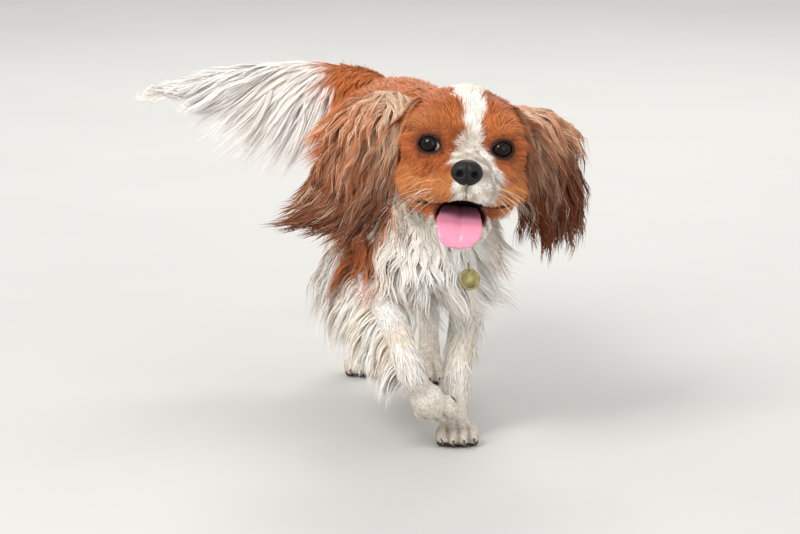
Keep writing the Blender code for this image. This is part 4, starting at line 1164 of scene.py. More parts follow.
def ear_field(side):
    """Ear: locks fall from the flap's inner edge and fan out towards its outer edge."""
    stations = np.array(EARS[side])[:, :3]
    middle, root = stations.mean(0), stations[0]
    across = unit(np.array(EAR_ACROSS[side]))
    wave, waves, patchy = (0.42, 1.7, 0.1) if side < 0 else (0.6, 2.2, -0.4)

    def field(points, normals):
        out = np.clip((points - middle) @ across / 0.03, -1, 1) * 0.5 + 0.5
        down = np.clip((0.285 - points[:, 2]) / 0.09, 0, 1)
        if side < 0:
            blown = step(0.262, 0.222, points[:, 2])
            lie = mixed((-0.1, -0.12, -1), (-0.55, 0.18, -0.85), out * (0.35 + 0.65 * blown))
            hung = mixed((-0.15, 0.0, -1.0), (-0.45, 0.1, -0.95), out)
            swept = mixed((-0.5, 0.0, -0.85), (-1.0, 0.2, 0.1), out**0.7)
            later = mixed(hung, swept, blown)
            length = 0.062 - 0.01 * down + 0.008 * blown * out
        else:
            lie = mixed((-0.1, -0.12, -1), (0.95, -0.08, -0.6), out)
            later = mixed((0.25, 0.0, -1), (-0.6, 0.0, -1.0), out)
            far, close = np.maximum(2 * out - 1, 0), np.maximum(1 - 2 * out, 0)
            length = 0.064 - 0.01 * down - 0.016 * far**2 + 0.01 * close
        top = step(-0.016, -0.003, points[:, 2] - root[2])
        top = top * np.where(ripples(points, 0.006, 77) > patchy, 1.0, 0.15)
        lie = mixed(lie, (side * 0.95, -0.3, -0.1), top)
        later = mixed(later, (side * 0.3, -0.1, -1.0), top)
        # Some locks at the front edge run forwards, and cover the flap's bare corner there.
        edge = step(0.034, 0.018, distance(points, root)) * step(0.45, 0.1, out)
        edge = edge * np.where(ripples(points, 0.004, 78) > -0.2, 0.85, 0.2)
        lie = mixed(lie, (-side * 0.3, -0.45, 0.1), edge)
        later = mixed(later, (side * 0.25, -0.1, -1.0), edge)
        return lie, later, length * (1 - 0.25 * edge), wave, waves, 0.0055 + 0.003 * edge

    return field


def tail_field(points, normals):
    """Tail: locks leave the bone sideways above and downwards below, sweep out towards the tip and droop."""
    along = np.clip(-points[:, 0] / 0.2, 0, 1)
    under = np.clip(0.8 - normals[:, 2] * 0.8, 0, 1)
    drop = mixed((0.15, 0.0, -1.0), (-0.6, 0.0, -0.8), step(0.25, 0.75, along))
    lie = mixed((-0.8, 0.0, -0.1), drop, under)
    lie = mixed(lie, (-1, 0, 0.1), along**2 * 0.8)
    sweep = mixed((-0.6, 0.0, -0.8), (-1.0, 0.0, -0.3), step(0.25, 0.65, along))
    later = mixed((-0.8, 0.0, -0.75), sweep, under)
    later = mixed(later, (-1.0, 0.0, -0.15), step(0.7, 0.9, along))
    length = (0.054 + 0.04 * np.sin(np.clip(along * 1.25 + 0.15, 0, 1) * math.pi)) * (0.8 + 0.3 * under)
    length = length * (0.1 + 0.3 * under + (0.9 - 0.3 * under) * step(0.03, 0.06, -points[:, 0]))
    return lie, later, length, 0.12, 1.0, 0.002 + 0.008 * step(0.03, 0.07, -points[:, 0])


def chest_field(points, normals):
    """Chest and throat: locks sweep down and across to the left side, and curl at their ends."""
    x, _, z = points.T
    swirl = ripples(points, 0.055, 21)
    across = step(-0.045, -0.005, x)
    still = np.zeros(len(points))
    lie = np.stack([across * (0.5 - 5 * x) + 0.35 * swirl, still - 0.1, still - 1.0], axis=1)
    later = lie + np.stack([across * 0.5 + 0.7 * swirl, still, 0.35 * swirl], axis=1)
    length = np.interp(z, (0.1, 0.13, 0.18, 0.24), (0.054, 0.056, 0.048, 0.036))
    return lie, later, length, 0.58, 1.3, 0.006


def under_field(points, normals):
    """Belly and rump fringe: locks hang back and down, and those of the right flank are blown outwards."""
    y = points[:, 1]
    lie = mixed((0.0, 0.75, -0.6), (0.0, 0.35, -1), step(0.22, 0.28, y))
    lie = lie + normals * 0.2
    length = np.interp(y, (0.02, 0.12, 0.22, 0.3), (0.032, 0.036, 0.03, 0.05))
    blown = step(-0.02, -0.04, points[:, 0]) * step(0.02, 0.08, y) * step(0.24, 0.2, y)
    lie = mixed(lie, (-0.7, 0.3, -0.65), 0.8 * blown)
    return lie, lie + (0, 0, -0.4), length + 0.012 * blown, 0.3, 1.2, 0.007


def fore_right_field(points, normals):
    """Lifted foreleg: a curtain of feathering behind the forearm, whose ends curl back in."""
    ahead = np.clip((0.045 - points[:, 1]) / 0.12, 0, 1)
    back = np.clip(0.5 - 0.5 * normals[:, 2] + 0.5 * normals[:, 1], 0, 1)
    lie = mixed((-1.0, 0.3, -0.45), (-0.6, 0.25, -0.8), ahead)
    later = mixed((0.1, 0.2, -1.0), (0.2, 0.3, -0.95), ahead)
    return lie, later, (0.068 - 0.03 * ahead) * (0.3 + 0.7 * back), 0.14, 0.9, 0.004


def leg_field(points, normals):
    """Standing legs: feathering that hangs from the back of the limb."""
    back = np.clip(0.25 + 0.75 * normals[:, 1], 0, 1)
    side = np.sign(points[:, 0] - 0.004)
    lie = np.stack([0.34 * side, 0.5 * back, np.full(len(points), -1.0)], axis=1)
    length = np.interp(points[:, 2], (0.02, 0.05, 0.1, 0.17), (0.013, 0.028, 0.036, 0.036))
    return lie, lie + (0, -0.15, -0.3), length * (0.4 + 0.6 * back), 0.26, 1.0, 0.005


def body_field(points, normals):
    """Back, flanks and neck: locks lie back and down along the body."""
    x, y, z = points.T
    still = np.zeros(len(points))
    down = np.clip((0.265 - z) / 0.07, 0, 1)
    lie = mixed((0, 1, -0.08), (0, 0.62, -0.8), down)
    outer = np.clip(x / 0.03, -1, 1)
    lie = lie + np.stack([outer * 0.1, still, still], axis=1)
    rump = step(0.26, 0.31, y)
    lie = mixed(lie, (0, 0.2, -1), rump)
    length = 0.021 + 0.011 * down + 0.006 * step(-0.02, -0.06, y)
    side = step(0.12, 0.18, y) * step(0.19, 0.22, z) * step(0.02, 0.04, np.abs(x))
    lie = mixed(lie, np.stack([0.75 * np.sign(x), still + 0.35, still - 0.5], axis=1), side)
    length = length + 0.02 * side * (x < 0)
    ahead = (points - COLLAR_AT) @ unit(COLLAR_FACING)
    close = step(-0.002, 0.004, ahead) * step(0.055, 0.035, ahead)
    lie = mixed(lie, np.stack([0.3 * outer, still + 0.8, still - 0.45], axis=1), close)
    length = length + 0.018 * close
    return lie, lie + (0, 0, -0.15), length, 0.4, 1.1, 0.0032 + 0.016 * side * (x < 0)


def head_field(points, normals):
    """Face: tufts run from the nose back over the brow and cheeks, part round the eyes, and are shortest
    on the muzzle. At the sides of the skull they fall towards the ears.
    """
    local = head_local(points)
    away = local - (NOSE_AT + (0, -0.004, 0.004))
    reach = np.linalg.norm(away, axis=1)
    beside = np.abs(local[:, 0])
    cheek = step(0.02, 0.045, beside) * step(0.01, -0.03, local[:, 2])
    temple = step(0.022, 0.04, beside) * step(-0.005, 0.015, local[:, 2])
    outer = 1.3 * temple * np.sign(local[:, 0])
    close = step(2.6, 1.2, eye_share(local))
    lie = unit(away) + (0, 0.25, -0.1) + cheek[:, None] * (0, 0.3, -0.9)
    lie = lie + outer[:, None] * (1, 0, 0) - temple[:, None] * (0, 0, 0.9)
    lie = lie + 1.6 * close[:, None] * from_eye(local)
    length = np.interp(reach, (0.008, 0.03, 0.06, 0.1), (0.0026, 0.0056, 0.01, 0.015))
    length = length * (1 + 0.8 * cheek + 0.5 * temple) * (1 - 0.55 * close)
    length = np.minimum(length, 0.0022 + 0.75 * np.clip(mouth_gap(local), 0, 0.05))
    lift = np.interp(reach, (0.008, 0.05, 0.1), (0.3, 0.22, 0.16))
    width = np.interp(reach, (0.008, 0.05, 0.1), (0.00045, 0.0008, 0.0011))
    return lie @ HEAD_TURN.T, length, lift, width


def down_limbs(points):
    """The direction down the nearest limb at each point."""
    paths = [read_smoothly(stations, 24)[:, :3] for stations in LIMBS.values()]
    along = np.concatenate([unit(np.gradient(path, axis=0)) for path in paths])
    paths = np.concatenate(paths)
    gap = ((points[:, None] - paths[None]) ** 2).sum(2)
    return along[gap.argmin(1)]


def limb_field(points, normals):
    """Lower legs and paws: short tufts run down the limb and over the toes."""
    lie = down_limbs(points)
    low = step(0.06, 0.03, points[:, 2])
    for name in PAWS:
        turn, middle = paw_matrix(name)
        local = (points - middle) @ turn
        near = (np.abs(local[:, :2]) < (0.025, 0.034)).all(1) & (np.abs(local[:, 2] - 0.012) < 0.018)
        lie[near] = np.array((0, -1, -0.35)) @ turn.T
        low = np.maximum(low, step(0.045, 0.03, distance(points, middle)))
    length = (0.014 - 0.0102 * low) * (1 - 0.4 * toe_gaps(points))
    return lie, length, 0.12 - 0.06 * low, 0.0011 - 0.0003 * low


def owner_weight(*names):
    """1 on triangles of the named forms and 0 elsewhere."""
    numbers = [index for index, name in enumerate(KINDS) if name in names]
    return np.isin(SKIN["face_owner"], numbers).astype(float)


# Operators


class SPANIEL_OT_skin(bpy.types.Operator):
    """Melt all the forms of the flesh into one skin, and open the eyes and the mouth"""

    bl_idname = "spaniel.skin"
    bl_label = "Skin"

    def execute(self, context):
        look = settings()
        forms = flesh_forms()
        corners, faces = together(forms.values())
        skin = mesh_object("skin", corners + SHIFT, faces)
        melt = skin.modifiers.new("melt", "REMESH")
        melt.mode = "VOXEL"
        melt.voxel_size = look.voxel
        ease = skin.modifiers.new("ease", "SMOOTH")
        ease.factor = 0.5
        ease.iterations = 5
        applied(skin)
        cutters = []
        for side in SIDES:
            cutters.append(solid("opening", eye_cutter(side)))
            middle = head_world(eye_axes(side)[0])
            cutters.append(solid("socket", ball(middle, (EYE_RADIUS + 0.0003,) * 3, 20, 32)))
            cutters.append(solid("lip_gap", mouth_wedge(side)))
        cutters.append(solid("mouth", on_head(ball(*MOUTH, 24, 36))))
        cut_from(skin, cutters)
        skin.data.shade_smooth()
        read_skin(skin.data, forms)
        kind = kinds(SKIN["owner"])
        colours = coat_colours(SKIN["corners"], kind) * SKIN_SHADE
        local = head_local(SKIN["corners"])
        beside = np.abs(local[:, 0])
        of_head = kind == "head"
        inside = step(0.0022, 0.001, mouth_gap(local)) * of_head
        rim = step(1.22, 1.08, eye_share(local)) * of_head
        groove = step(0.0016, 0.0006, beside) * step(-0.028, -0.032, local[:, 1])
        groove *= step(-0.026, -0.03, local[:, 2]) * of_head
        wet = np.maximum(np.maximum(inside, rim), groove)
        colours = mixed(colours, np.array(look.mouth_dark), wet)
        colours = mixed(colours, (0.028, 0.01, 0.006), 0.9 * rim)
        upper, lower = mouth_edges(local[:, 1])
        flesh = inside * step(0.0, 0.003, (upper + lower) / 2 - local[:, 2]) * step(0.012, 0.018, beside)
        colours = mixed(colours, np.array(look.lip_red), 0.75 * flesh)
        colour_attribute(skin.data, colours, wet - rim)
        own_pieces = ("eye", "nose", "tongue", "collar")
        nodes = [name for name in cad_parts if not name.startswith(own_pieces)]
        dress(skin, skin_material(), "chestnut_coat", *nodes)
        return {"FINISHED"}


class SPANIEL_OT_body_coat(bpy.types.Operator):
    """Lay the coat of the back, flanks, neck, chest and belly"""

    bl_idname = "spaniel.body_coat"
    bl_label = "Body coat"

    def execute(self, context):
        look = settings()
        finish = coat_material("silky_coat", 0.46, 0.8, 1.11)
        x, y, z = SKIN["middles"].T
        ahead = (SKIN["middles"] - COLLAR_AT) @ unit(COLLAR_FACING)
        body = owner_weight("trunk", "neck")
        body *= np.abs(ahead) > look.collar_width / 2 + 0.0008
        body += owner_weight("head", "jaw") * step(0.0, 0.004, ahead) * step(0.024, 0.016, ahead)
        body *= 1 + 3.0 * step(0.0, 0.006, ahead) * step(0.045, 0.03, ahead)
        fore = y < 0.12
        halves = (("body_coat_front", fore, 7400, 31), ("body_coat_back", ~fore, 6400, 32))
        for name, half, count, seed in halves:
            piece = long_coat(name, body * half, body_field, count, 1300, seed, 3, 0.6)
            dress(piece, finish, "chestnut_coat")
        front = body * step(0.02, -0.02, y) * step(0.255, 0.235, z) * step(0.062, 0.045, np.abs(x))
        dress(long_coat("chest_coat", front, chest_field, 5100, 260, 33, 5, 0.4), finish, "white_coat")
        belly = step(0.142, 0.125, z) * step(0.0, 0.04, y)
        under = body * np.maximum(belly, step(0.27, 0.295, y) * step(0.24, 0.2, z))
        dress(long_coat("belly_coat", under, under_field, 3300, 240, 34), finish, "white_coat")
        return {"FINISHED"}


class SPANIEL_OT_head_coat(bpy.types.Operator):
    """Lay the short coat of the face and skull"""

    bl_idname = "spaniel.head_coat"
    bl_label = "Head coat"

    def execute(self, context):
        finish = coat_material("face_coat", 0.5, 0.82, 1.1)
        local = head_local(SKIN["middles"])
        weight = owner_weight("head", "jaw")
        weight *= mouth_gap(local) > 0.0014
        weight *= eye_share(local) > 1.03
        weight *= np.linalg.norm((local - NOSE_AT) / (NOSE_SIZE * 1.02), axis=1) > 1.0
        groove = (np.abs(local[:, 0]) < 0.001) & (local[:, 1] < -0.03) & (local[:, 2] < -0.03)
        weight *= ~groove
        close = np.interp(distance(local, NOSE_AT), (0.02, 0.06, 0.1), (3.0, 1.8, 1.0))
        count = int(17500 * settings().density)
        ahead = local[:, 1] < 0.012
        for name, half, part, seed in (("face_coat", ahead, 0.95, 35), ("crown_coat", ~ahead, 0.55, 45)):
            piece = short_coat(name, weight * close * half, head_field, int(count * part), seed)
            dress(piece, finish, "chestnut_coat")
        return {"FINISHED"}


class SPANIEL_OT_ear_coat(bpy.types.Operator):
    """Hang the long wavy locks of both ears"""

    bl_idname = "spaniel.ear_coat"
    bl_label = "Ear coat"

    def execute(self, context):
        finish = coat_material("ear_locks", 0.42, 0.74, 1.14)
        middles = SKIN["middles"]
        for name, side, clump, seed in (("ear_right", -1, 0.42, 36), ("ear_left", 1, 0.18, 37)):
            stations = np.array(EARS[side])[:, :3]
            near = step(0.032, 0.018, distance(middles, stations[0]))
            inner = step(0.004, 0.02, (middles - stations.mean(0)) @ np.array((-side, -0.3, 0)))
            weight = owner_weight(name) * (1 + 1.8 * step(0.245, 0.275, middles[:, 2]) + 1.5 * inner)
            weight += 3.2 * near * owner_weight("head")
            piece = long_coat(name + "_coat", weight, ear_field(side), 6900, 360, seed, 4, clump)
            dress(piece, finish, "ear_coat")
        return {"FINISHED"}


class SPANIEL_OT_tail_coat(bpy.types.Operator):
    """Hang the white plume of the tail"""

    bl_idname = "spaniel.tail_coat"
    bl_label = "Tail coat"

    def execute(self, context):
        finish = coat_material("tail_locks", 0.46, 0.98, 1.06)
        weight = owner_weight("tail") * step(0.02, -0.01, SKIN["middles"][:, 0])
        dress(long_coat("tail_coat", weight, tail_field, 8300, 620, 38, 4, 0.1), finish, "white_coat")
        return {"FINISHED"}


class SPANIEL_OT_leg_coat(bpy.types.Operator):
    """Lay the feathering and the short coat of legs and paws"""

    bl_idname = "spaniel.leg_coat"
    bl_label = "Leg coat"

    def execute(self, context):
        finish = coat_material("leg_coat", 0.5, 0.88, 1.07)
        x, y, z = SKIN["normals"][SKIN["faces"][:, 0]].T
        height = SKIN["middles"][:, 2]
        behind = np.clip(0.1 + y - 0.6 * z - 0.25 * x, 0.0, 1)
        weight = owner_weight("foreleg_right") * behind * step(0.062, 0.078, height)
        piece = long_coat("foreleg_feather", weight, fore_right_field, 4100, 280, 39, 5, 0.22)
        dress(piece, finish, "white_coat")
        behind = np.clip(y + 0.25 * np.abs(x) - 0.05, 0.0, 1)
        weight = owner_weight("foreleg_left", "hind_right", "hind_left") * behind * step(0.03, 0.05, height)
        dress(long_coat("leg_feather", weight, leg_field, 3000, 300, 40), finish, "white_coat")
        weight = owner_weight(*PAWS, *LIMBS)
        weight *= (1 - 0.7 * (height < 0.0015)) * (1 + 1.8 * owner_weight(*PAWS))
        piece = short_coat("limb_coat", weight, limb_field, int(15500 * settings().density), 41)
        dress(piece, finish, "white_coat")
        return {"FINISHED"}


class SPANIEL_OT_eyes(bpy.types.Operator):
    """Make both eyes with their lids"""

    bl_idname = "spaniel.eyes"
    bl_label = "Eyes"

    def execute(self, context):
        look = settings()
        made, tree, shader = new_material("eye_brown")
        colour = add(tree, "ShaderNodeAttribute", attribute_name="coat")
        tree.links.new(colour.outputs["Color"], shader.inputs["Base Color"])
        put(shader, {"Roughness": 0.05, "Specular IOR Level": 0.2})
        rim = plain_material("lid_rim", (0.014, 0.008, 0.007), 0.6, 600, 0.3, gloss=0.12)
        brown = np.array(look.iris)
        for name, side in (("eye_right", -1), ("eye_left", 1)):
            middle, ahead, _ = eye_axes(side)
            corners, faces = ball((0, 0, 0), (1, 1, 1), 56, 72)
            gaze = unit(ahead + np.array((-0.1 - 0.02 * side, 0, -0.03)))
            angle = np.arccos(np.clip(corners @ gaze, -1, 1))
            bulge = 0.045 * step(0.8, 0.35, angle)
            points = middle + corners * (EYE_RADIUS * (1 + bulge))[:, None]
            piece = solid(name + "_ball", on_head((points, faces)))
            iris = mixed(brown, brown * 0.3, step(0.52, 0.74, angle))
            iris = iris * (1 + 0.25 * ripples(corners, 0.16, 7))[:, None]
            colours = mixed((0.003, 0.002, 0.002), iris, step(0.34, 0.38, angle))
            inner = step(0.05, 0.3, -side * corners[:, 0]) * (1.0 if side < 0 else 0.15)
            colours = mixed(colours, (0.66, 0.55, 0.52), inner * step(0.82, 0.88, angle))
            colour_attribute(piece.data, np.clip(colours, 0, 1))
            dress(piece, made, "eye_brown", name)
            flat, turn = almond(side, 72)
            reach = np.sqrt(np.maximum((EYE_RADIUS + 0.0004) ** 2 - (flat**2).sum(1), 1e-8))
            line = middle + flat * 1.03 + ahead * reach[:, None]
            thick = 0.0007 + 0.0004 * np.clip(np.sin(turn), 0, 1)
            dress(solid(name + "_lids", on_head(ring_tube(line, thick, 10, middle))), rim, "nose_leather")
        return {"FINISHED"}


class SPANIEL_OT_nose(bpy.types.Operator):
    """Shape the nose leather with its nostrils"""

    bl_idname = "spaniel.nose"
    bl_label = "Nose"

    def execute(self, context):
        corners, faces = ball((0, 0, 0), (1, 1, 1), 72, 96)
        _, y, z = corners.T
        shape = corners.copy()
        shape[:, 0] *= 1 - 0.22 * np.clip(-z, 0, 1) ** 1.5
        shape[:, 1] *= 0.92 + 0.1 * np.clip(z, 0, 1)
        points = shape * (NOSE_SIZE * (1.0, 1.05, 1.02))
        front = step(0.1, -0.3, y)
        beside, high = np.abs(points[:, 0]), points[:, 2]
        hole = bell((beside - 0.0056) / 0.0023, (high + 0.0004) / 0.0022)
        slit = bell((beside - 0.0085) / 0.003, (high + 0.0024 - 0.25 * (0.0085 - beside)) / 0.001)
        groove = bell(beside / 0.0009) * step(0.0075, 0.001, high)
        rim = bell((beside - 0.0056) / 0.0042, (high - 0.0012) / 0.004) - hole
        points[:, 1] += front * (0.005 * hole + 0.0018 * slit + 0.0017 * groove)
        points[:, 1] -= front * 0.0011 * np.clip(rim, 0, 1)
        piece = solid("nose_pad", on_head((points + NOSE_AT + (0, -0.0004, 0), faces)))
        finish = leather_material("nose_leather", settings().nose_black, 0.42, 1100, 0.5, 0.0004)
        dress(piece, finish, "nose_leather", "nose")
        return {"FINISHED"}


class SPANIEL_OT_mouth(bpy.types.Operator):
    """Shape the tongue"""

    bl_idname = "spaniel.mouth"
    bl_label = "Tongue"

    def execute(self, context):
        count, sides = 60, 48
        corners, faces = loft(TONGUE, (1, 0, 0), count, sides)
        rows = read_smoothly(TONGUE, count)
        ring = np.concatenate([np.repeat(np.arange(count), sides), [0, count - 1]])
        middle = rows[ring, :3]
        side = corners[:, 0] - middle[:, 0]
        along = unit(np.gradient(rows[:, :3], axis=0))[ring]
        upward = np.cross((1.0, 0, 0), along)
        upward = unit(upward) * np.sign(upward[:, 2:3] - 0.4 * upward[:, 1:2])
        high = np.einsum("ij,ij->i", corners - middle, upward)
        groove = bell(side / 0.0016) * 0.0011 * (high > 0)
        cup = 0.9 * (side / 0.018) ** 2 * 0.0022
        piece = solid("tongue_flesh", on_head((corners + upward * (cup - groove)[:, None], faces)))
        pink = settings().tongue_pink
        finish = plain_material("tongue_pink", pink, 0.34, 900, 0.35, spread=(0.86, 1.08), coat=0.25)
        dress(piece, finish, "tongue_pink", "tongue")
        return {"FINISHED"}


class SPANIEL_OT_whiskers(bpy.types.Operator):
    """Grow the whiskers"""

    bl_idname = "spaniel.whiskers"
    bl_label = "Whiskers"

    def execute(self, context):
        random = np.random.default_rng(51)
        pieces = []
        share = np.linspace(0, 1, 10)[:, None]
        for side in SIDES:
            for _ in range(13):
                root = random.uniform((0.017, -0.026, -0.04), (0.022, -0.004, -0.028)) * (side, 1, 1)
                heading = np.array((side * 0.9, random.uniform(-0.35, 0.45), random.uniform(-0.55, 0.1)))
                length = random.uniform(0.03, 0.048)
                path = root + unit(heading) * share * length + np.array((0, 0.006, -0.02)) * share**2
                pieces.append(tube(head_world(path), 0.00015 * (1 - 0.8 * share[:, 0]), 5))
        finish = plain_material("whisker_hair", (0.8, 0.72, 0.6), 0.4, 200, 0.1)
        dress(solid("whiskers", together(pieces)), finish, "white_coat")
        return {"FINISHED"}


class SPANIEL_OT_claws(bpy.types.Operator):
    """Make the claws and the pads under the paws"""

    bl_idname = "spaniel.claws"
    bl_label = "Claws and pads"

    def execute(self, context):
        claws, pads = [], []
        share = np.linspace(0, 1, 9)
        high = 0.0086 - 0.002 * share - 0.0036 * share**2
        for name in PAWS:
            for x, reach in TOES:
                path = np.stack([np.full(9, x), -reach - 0.005 - 0.009 * share, high], axis=1)
                claws.append(on_paw(name, tube(path, 0.0017 * (1 - 0.8 * share), 10, 1.2)))
                pads.append(on_paw(name, ball((x, -reach - 0.001, 0.0034), (0.0042, 0.0062, 0.0032))))
            pads.append(on_paw(name, ball((0, 0.001, 0.0036), (0.009, 0.0085, 0.0034))))
        horn = plain_material("claw_horn", (0.1, 0.07, 0.055), 0.35, 500, 0.2)
        dress(solid("claws", together(claws)), horn, "nose_leather")
        corners, faces = together(pads)
        corners[:, 2] = np.maximum(corners[:, 2], 0.0003)
        leather = leather_material("pad_leather", (0.035, 0.025, 0.022), 0.6, 900, 0.6, 0.0005)
        dress(solid("pads", (corners, faces)), leather, "nose_leather")
        return {"FINISHED"}


def round_neck(along, rays):
    """The middle at that distance along the collar's axis, and how far the skin is on each ray, smoothed."""
    middle = COLLAR_AT + unit(COLLAR_FACING) * along
    tree = SKIN["tree"]
    reach = [tree.ray_cast(Vector(middle), Vector(ray))[3] or NECK_RADIUS for ray in rays]
    wave = np.fft.rfft(reach)
    wave[NECK_WAVES:] = 0
    return middle, np.fft.irfft(wave, len(rays))


def pass_over(rays):
    """Adds to the skin's tree a hill over the collar, for locks to lie on: a bell curve along its axis."""
    rows = []
    for along in np.linspace(-0.021, 0.021, 15):
        middle, reach = round_neck(along, rays)
        rows.append(middle + rays * (reach + 0.0075 * bell(along / 0.0105) - 0.0006)[:, None])
    hill = np.concatenate([*rows, [rows[0].mean(0), rows[-1].mean(0)]])
    hill = outward((hill, tube_faces(len(rows), len(rays))))
    corners, faces = together([(SKIN["corners"], SKIN["faces"]), hill])
    SKIN["tree"] = BVHTree.FromPolygons(corners.tolist(), faces.tolist())


class SPANIEL_OT_collar(bpy.types.Operator):
    """Weave the collar and hang its blank tag"""

    bl_idname = "spaniel.collar"
    bl_label = "Collar and tag"

    def execute(self, context):
        look = settings()
        count, half = 128, 12
        across = np.array((1.0, 0, 0))
        rays = rays_round(across, np.cross(unit(COLLAR_FACING), across), count)
        low = np.clip(-rays[:, 2], 0, 1) ** 2
        edges = []
        for along in (-0.5 * look.collar_width, 0.5 * look.collar_width):
            middle, reach = round_neck(along, rays)
            edges.append(middle + rays * (reach + look.coat_depth * (0.12 + 0.78 * low))[:, None])
        share = np.linspace(0, 1, half)[:, None]
        face = edges[0][:, None] * (1 - share) + edges[1][:, None] * share
        crown = np.sin(share * math.pi) ** 0.4 * 0.0011
        outer, inner = face + rays[:, None] * crown, face - rays[:, None] * (crown * 0.7)
        corners = np.concatenate([outer, inner[:, ::-1]], axis=1).reshape(-1, 3)
        sides = 2 * half
        corners, faces = outward((corners, ring_faces(count, sides, closed=True)))
        pass_over(rays)
        piece = mesh_object("collar_band", corners + SHIFT, faces)
        around, beside = np.repeat(np.arange(count), sides) / count, np.tile(np.arange(sides), count) / sides
        uv_map(piece.data, "weave", np.stack([around, beside], axis=1), faces)
        dress(piece, weave_material(look.collar), "collar_webbing", "collar")

        lean = unit(TAG_FACING)
        side = unit(np.cross(lean, (0, 0, 1)))
        up = np.cross(side, lean)
        # A disc with a raised rim: the radius and the height of each ring on its upper face.
        rim = np.array(((0.0068, 0.0008), (0.0072, 0.0012), (0.0083, 0.0012), (0.0086, 0.0008)))
        profile = np.concatenate([rim, rim[::-1] * (1, -1)])[:, None]
        rings = rays_round(side, up, 64) * profile[..., :1] + lean * profile[..., 1:]
        corners = np.concatenate([rings.reshape(-1, 3), [lean * 0.0008, -lean * 0.0008]]) + TAG_AT
        disc = outward((corners, tube_faces(len(profile), 64)))
        loop_middle = TAG_AT + up * 0.01
        line = loop_middle + rays_round(side * 0.2 + lean, up, 64) * 0.0034
        loop = outward(ring_tube(line, 0.0005, 8, loop_middle))
        brass = plain_material("tag_brass", look.brass, 0.42, 300, 0.25, 0.0002, metallic=1.0)
        dress(solid("tag_disc", together([disc, loop])), brass, "tag_brass", "collar_tag")
        return {"FINISHED"}


class SPANIEL_OT_stage(bpy.types.Operator):
    """Lay the pale floor and hang the studio lights"""

    bl_idname = "spaniel.stage"
    bl_label = "Stage"

    def execute(self, context):
        scene = context.scene
        corners = np.array([(-1, -1, 0), (1, -1, 0), (1, 1, 0), (-1, 1, 0)]) * FLOOR_HALF
        floor = mesh_object("studio_floor", corners, [(0, 1, 2), (0, 2, 3)])
        grey = plain_material("studio_floor", (0.56, 0.56, 0.55), 0.9, 3.0, 0.05, spread=(0.98, 1.02))
        floor.data.materials.append(grey)
        world = bpy.data.worlds.new("studio")
        world.use_nodes = True
        put(world.node_tree.nodes["Background"], {"Color": (1.0, 0.985, 0.96, 1), "Strength": 0.78})
        scene.world = world
        scene.view_settings.view_transform = "Standard"
        for name, place, power, side, tint in LIGHTS:
            data = bpy.data.lights.new(name, "AREA")
            data.energy = power
            data.size = side
            data.color = tint
            lamp = bpy.data.objects.new(name, data)
            lamp.location = place
            aim = Vector(LIT_AT) - Vector(place)
            lamp.rotation_euler = aim.to_track_quat("-Z", "Y").to_euler()
            scene.collection.objects.link(lamp)
        return {"FINISHED"}


class SPANIEL_OT_camera(bpy.types.Operator):
    """Set the camera where the photograph was taken from"""

    bl_idname = "spaniel.camera"
    bl_label = "Camera"

    def execute(self, context):
        look = settings()
        azimuth, elevation = look.camera_azimuth, look.camera_elevation
        flat = math.cos(elevation)
        back = Vector((math.sin(azimuth) * flat, -math.cos(azimuth) * flat, math.sin(elevation)))
        data = bpy.data.cameras.new("camera")
        data.lens = look.camera_lens
        data.sensor_width = SENSOR_WIDTH
        data.clip_end = 60
        camera = bpy.data.objects.new("camera", data)
        turn = back.to_track_quat("Z", "Y").to_matrix()
        focal = data.lens / data.sensor_width * PICTURE_WIDTH
        right = (STANDS_AT[0] - PICTURE_MIDDLE[0]) / focal
        above = (PICTURE_MIDDLE[1] - STANDS_AT[1]) / focal
        offset = turn @ Vector((right, above, -1.0))
        camera.location = Vector(UNDER_DOG) + Vector(SHIFT) - offset * look.camera_distance
        camera.rotation_euler = turn.to_euler()
        context.scene.collection.objects.link(camera)
        context.scene.camera = camera
        return {"FINISHED"}


def length_setting(name, description, default):
    return bpy.props.FloatProperty(name=name, description=description, default=default, unit="LENGTH")


def angle_setting(name, description, degrees):
    return bpy.props.FloatProperty(
        name=name, description=description, default=math.radians(degrees), subtype="ANGLE"
    )


def colour_setting(name, description, default):
    return bpy.props.FloatVectorProperty(
        name=name, description=description, default=default, subtype="COLOR", size=3, min=0, max=1
    )


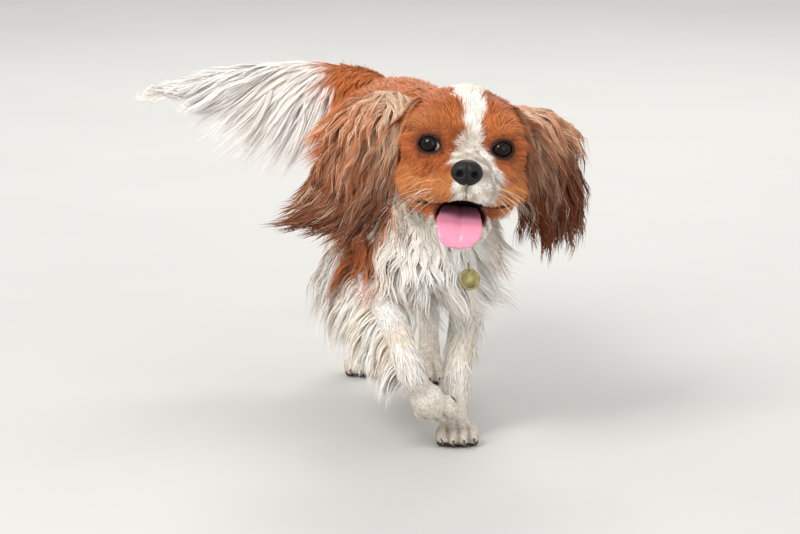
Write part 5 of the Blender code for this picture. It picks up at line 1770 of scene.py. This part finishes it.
class SpanielSettings(bpy.types.PropertyGroup):
    """Sizes and colours of the model"""

    voxel: length_setting("Skin grain", "Size of the cubes that the skin is melted in", 0.0022)
    coat_depth: length_setting("Coat depth", "How far the body's skin lies inside the solids", 0.007)
    face_depth: length_setting("Face coat depth", "How far the head's skin lies inside the solids", 0.0022)
    leg_depth: length_setting("Leg coat depth", "How far the legs' skin lies inside the solids", 0.003)
    eye_opening: length_setting("Eye opening", "Half the width between the lids", 0.0083)
    lock_width: length_setting("Lock width", "Width of a tuft of the long coat", 0.0013)
    collar_width: length_setting("Collar width", "Width of the collar's webbing", 0.011)
    density: bpy.props.FloatProperty(
        name="Coat density",
        description="Share of the full number of tufts",
        default=1.0,
        min=0.05,
        max=1.0,
        subtype="FACTOR",
    )
    camera_azimuth: angle_setting("Camera azimuth", "Angle of the camera round the dog from its front", -8)
    camera_elevation: angle_setting("Camera elevation", "Angle of the camera over the floor", 10)
    camera_distance: length_setting("Camera distance", "From the camera to the point under the dog", 3.5)
    camera_lens: bpy.props.FloatProperty(
        name="Lens", description="Focal length in millimetres", default=189.0
    )
    white: colour_setting("White", "Colour of the white ground", (0.955, 0.935, 0.925))
    cream: colour_setting("Cream", "Colour of the cream locks", (0.8, 0.7, 0.56))
    chestnut: colour_setting("Chestnut", "Colour of the patches", (0.62, 0.17, 0.047))
    dark_chestnut: colour_setting("Dark chestnut", "Colour of the darkest hair", (0.2, 0.045, 0.012))
    gold: colour_setting("Gold", "Colour of the sunlit cheeks", (0.78, 0.33, 0.11))
    pale_gold: colour_setting("Pale gold", "Colour of the ears' tops", (0.95, 0.74, 0.55))
    mouth_dark: colour_setting("Mouth", "Colour of lips, gums and lid rims", (0.02, 0.009, 0.009))
    lip_red: colour_setting("Lip", "Colour of the wet inside of the lower lip", (0.3, 0.07, 0.06))
    nose_black: colour_setting("Nose", "Colour of the nose leather", (0.009, 0.006, 0.007))
    iris: colour_setting("Iris", "Colour of the iris", (0.012, 0.007, 0.005))
    tongue_pink: colour_setting("Tongue", "Colour of the tongue", (0.76, 0.27, 0.4))
    collar: colour_setting("Collar", "Colour of the collar", (0.28, 0.24, 0.05))
    brass: colour_setting("Tag", "Colour of the tag", (0.36, 0.31, 0.14))


OPERATORS = (
    SPANIEL_OT_camera,
    SPANIEL_OT_stage,
    SPANIEL_OT_skin,
    SPANIEL_OT_collar,
    SPANIEL_OT_body_coat,
    SPANIEL_OT_head_coat,
    SPANIEL_OT_ear_coat,
    SPANIEL_OT_tail_coat,
    SPANIEL_OT_leg_coat,
    SPANIEL_OT_eyes,
    SPANIEL_OT_nose,
    SPANIEL_OT_mouth,
    SPANIEL_OT_whiskers,
    SPANIEL_OT_claws,
)


class SPANIEL_PT_panel(bpy.types.Panel):
    """Lists the pieces and the settings"""

    bl_idname = "SPANIEL_PT_panel"
    bl_label = "Spaniel"
    bl_space_type = "VIEW_3D"
    bl_region_type = "UI"
    bl_category = "Spaniel"

    def draw(self, context):
        for name in SpanielSettings.__annotations__:
            self.layout.prop(context.scene.spaniel, name)
        for operator in OPERATORS:
            self.layout.operator(operator.bl_idname)


def register():
    for thing in (SpanielSettings, *OPERATORS, SPANIEL_PT_panel):
        bpy.utils.register_class(thing)
    bpy.types.Scene.spaniel = bpy.props.PointerProperty(type=SpanielSettings)


def unregister():
    del bpy.types.Scene.spaniel
    for thing in reversed((SpanielSettings, *OPERATORS, SPANIEL_PT_panel)):
        bpy.utils.unregister_class(thing)


def main():
    register()
    for operator in OPERATORS:
        group, name = operator.bl_idname.split(".")
        getattr(getattr(bpy.ops, group), name)()


if __name__ == "__main__":
    main()
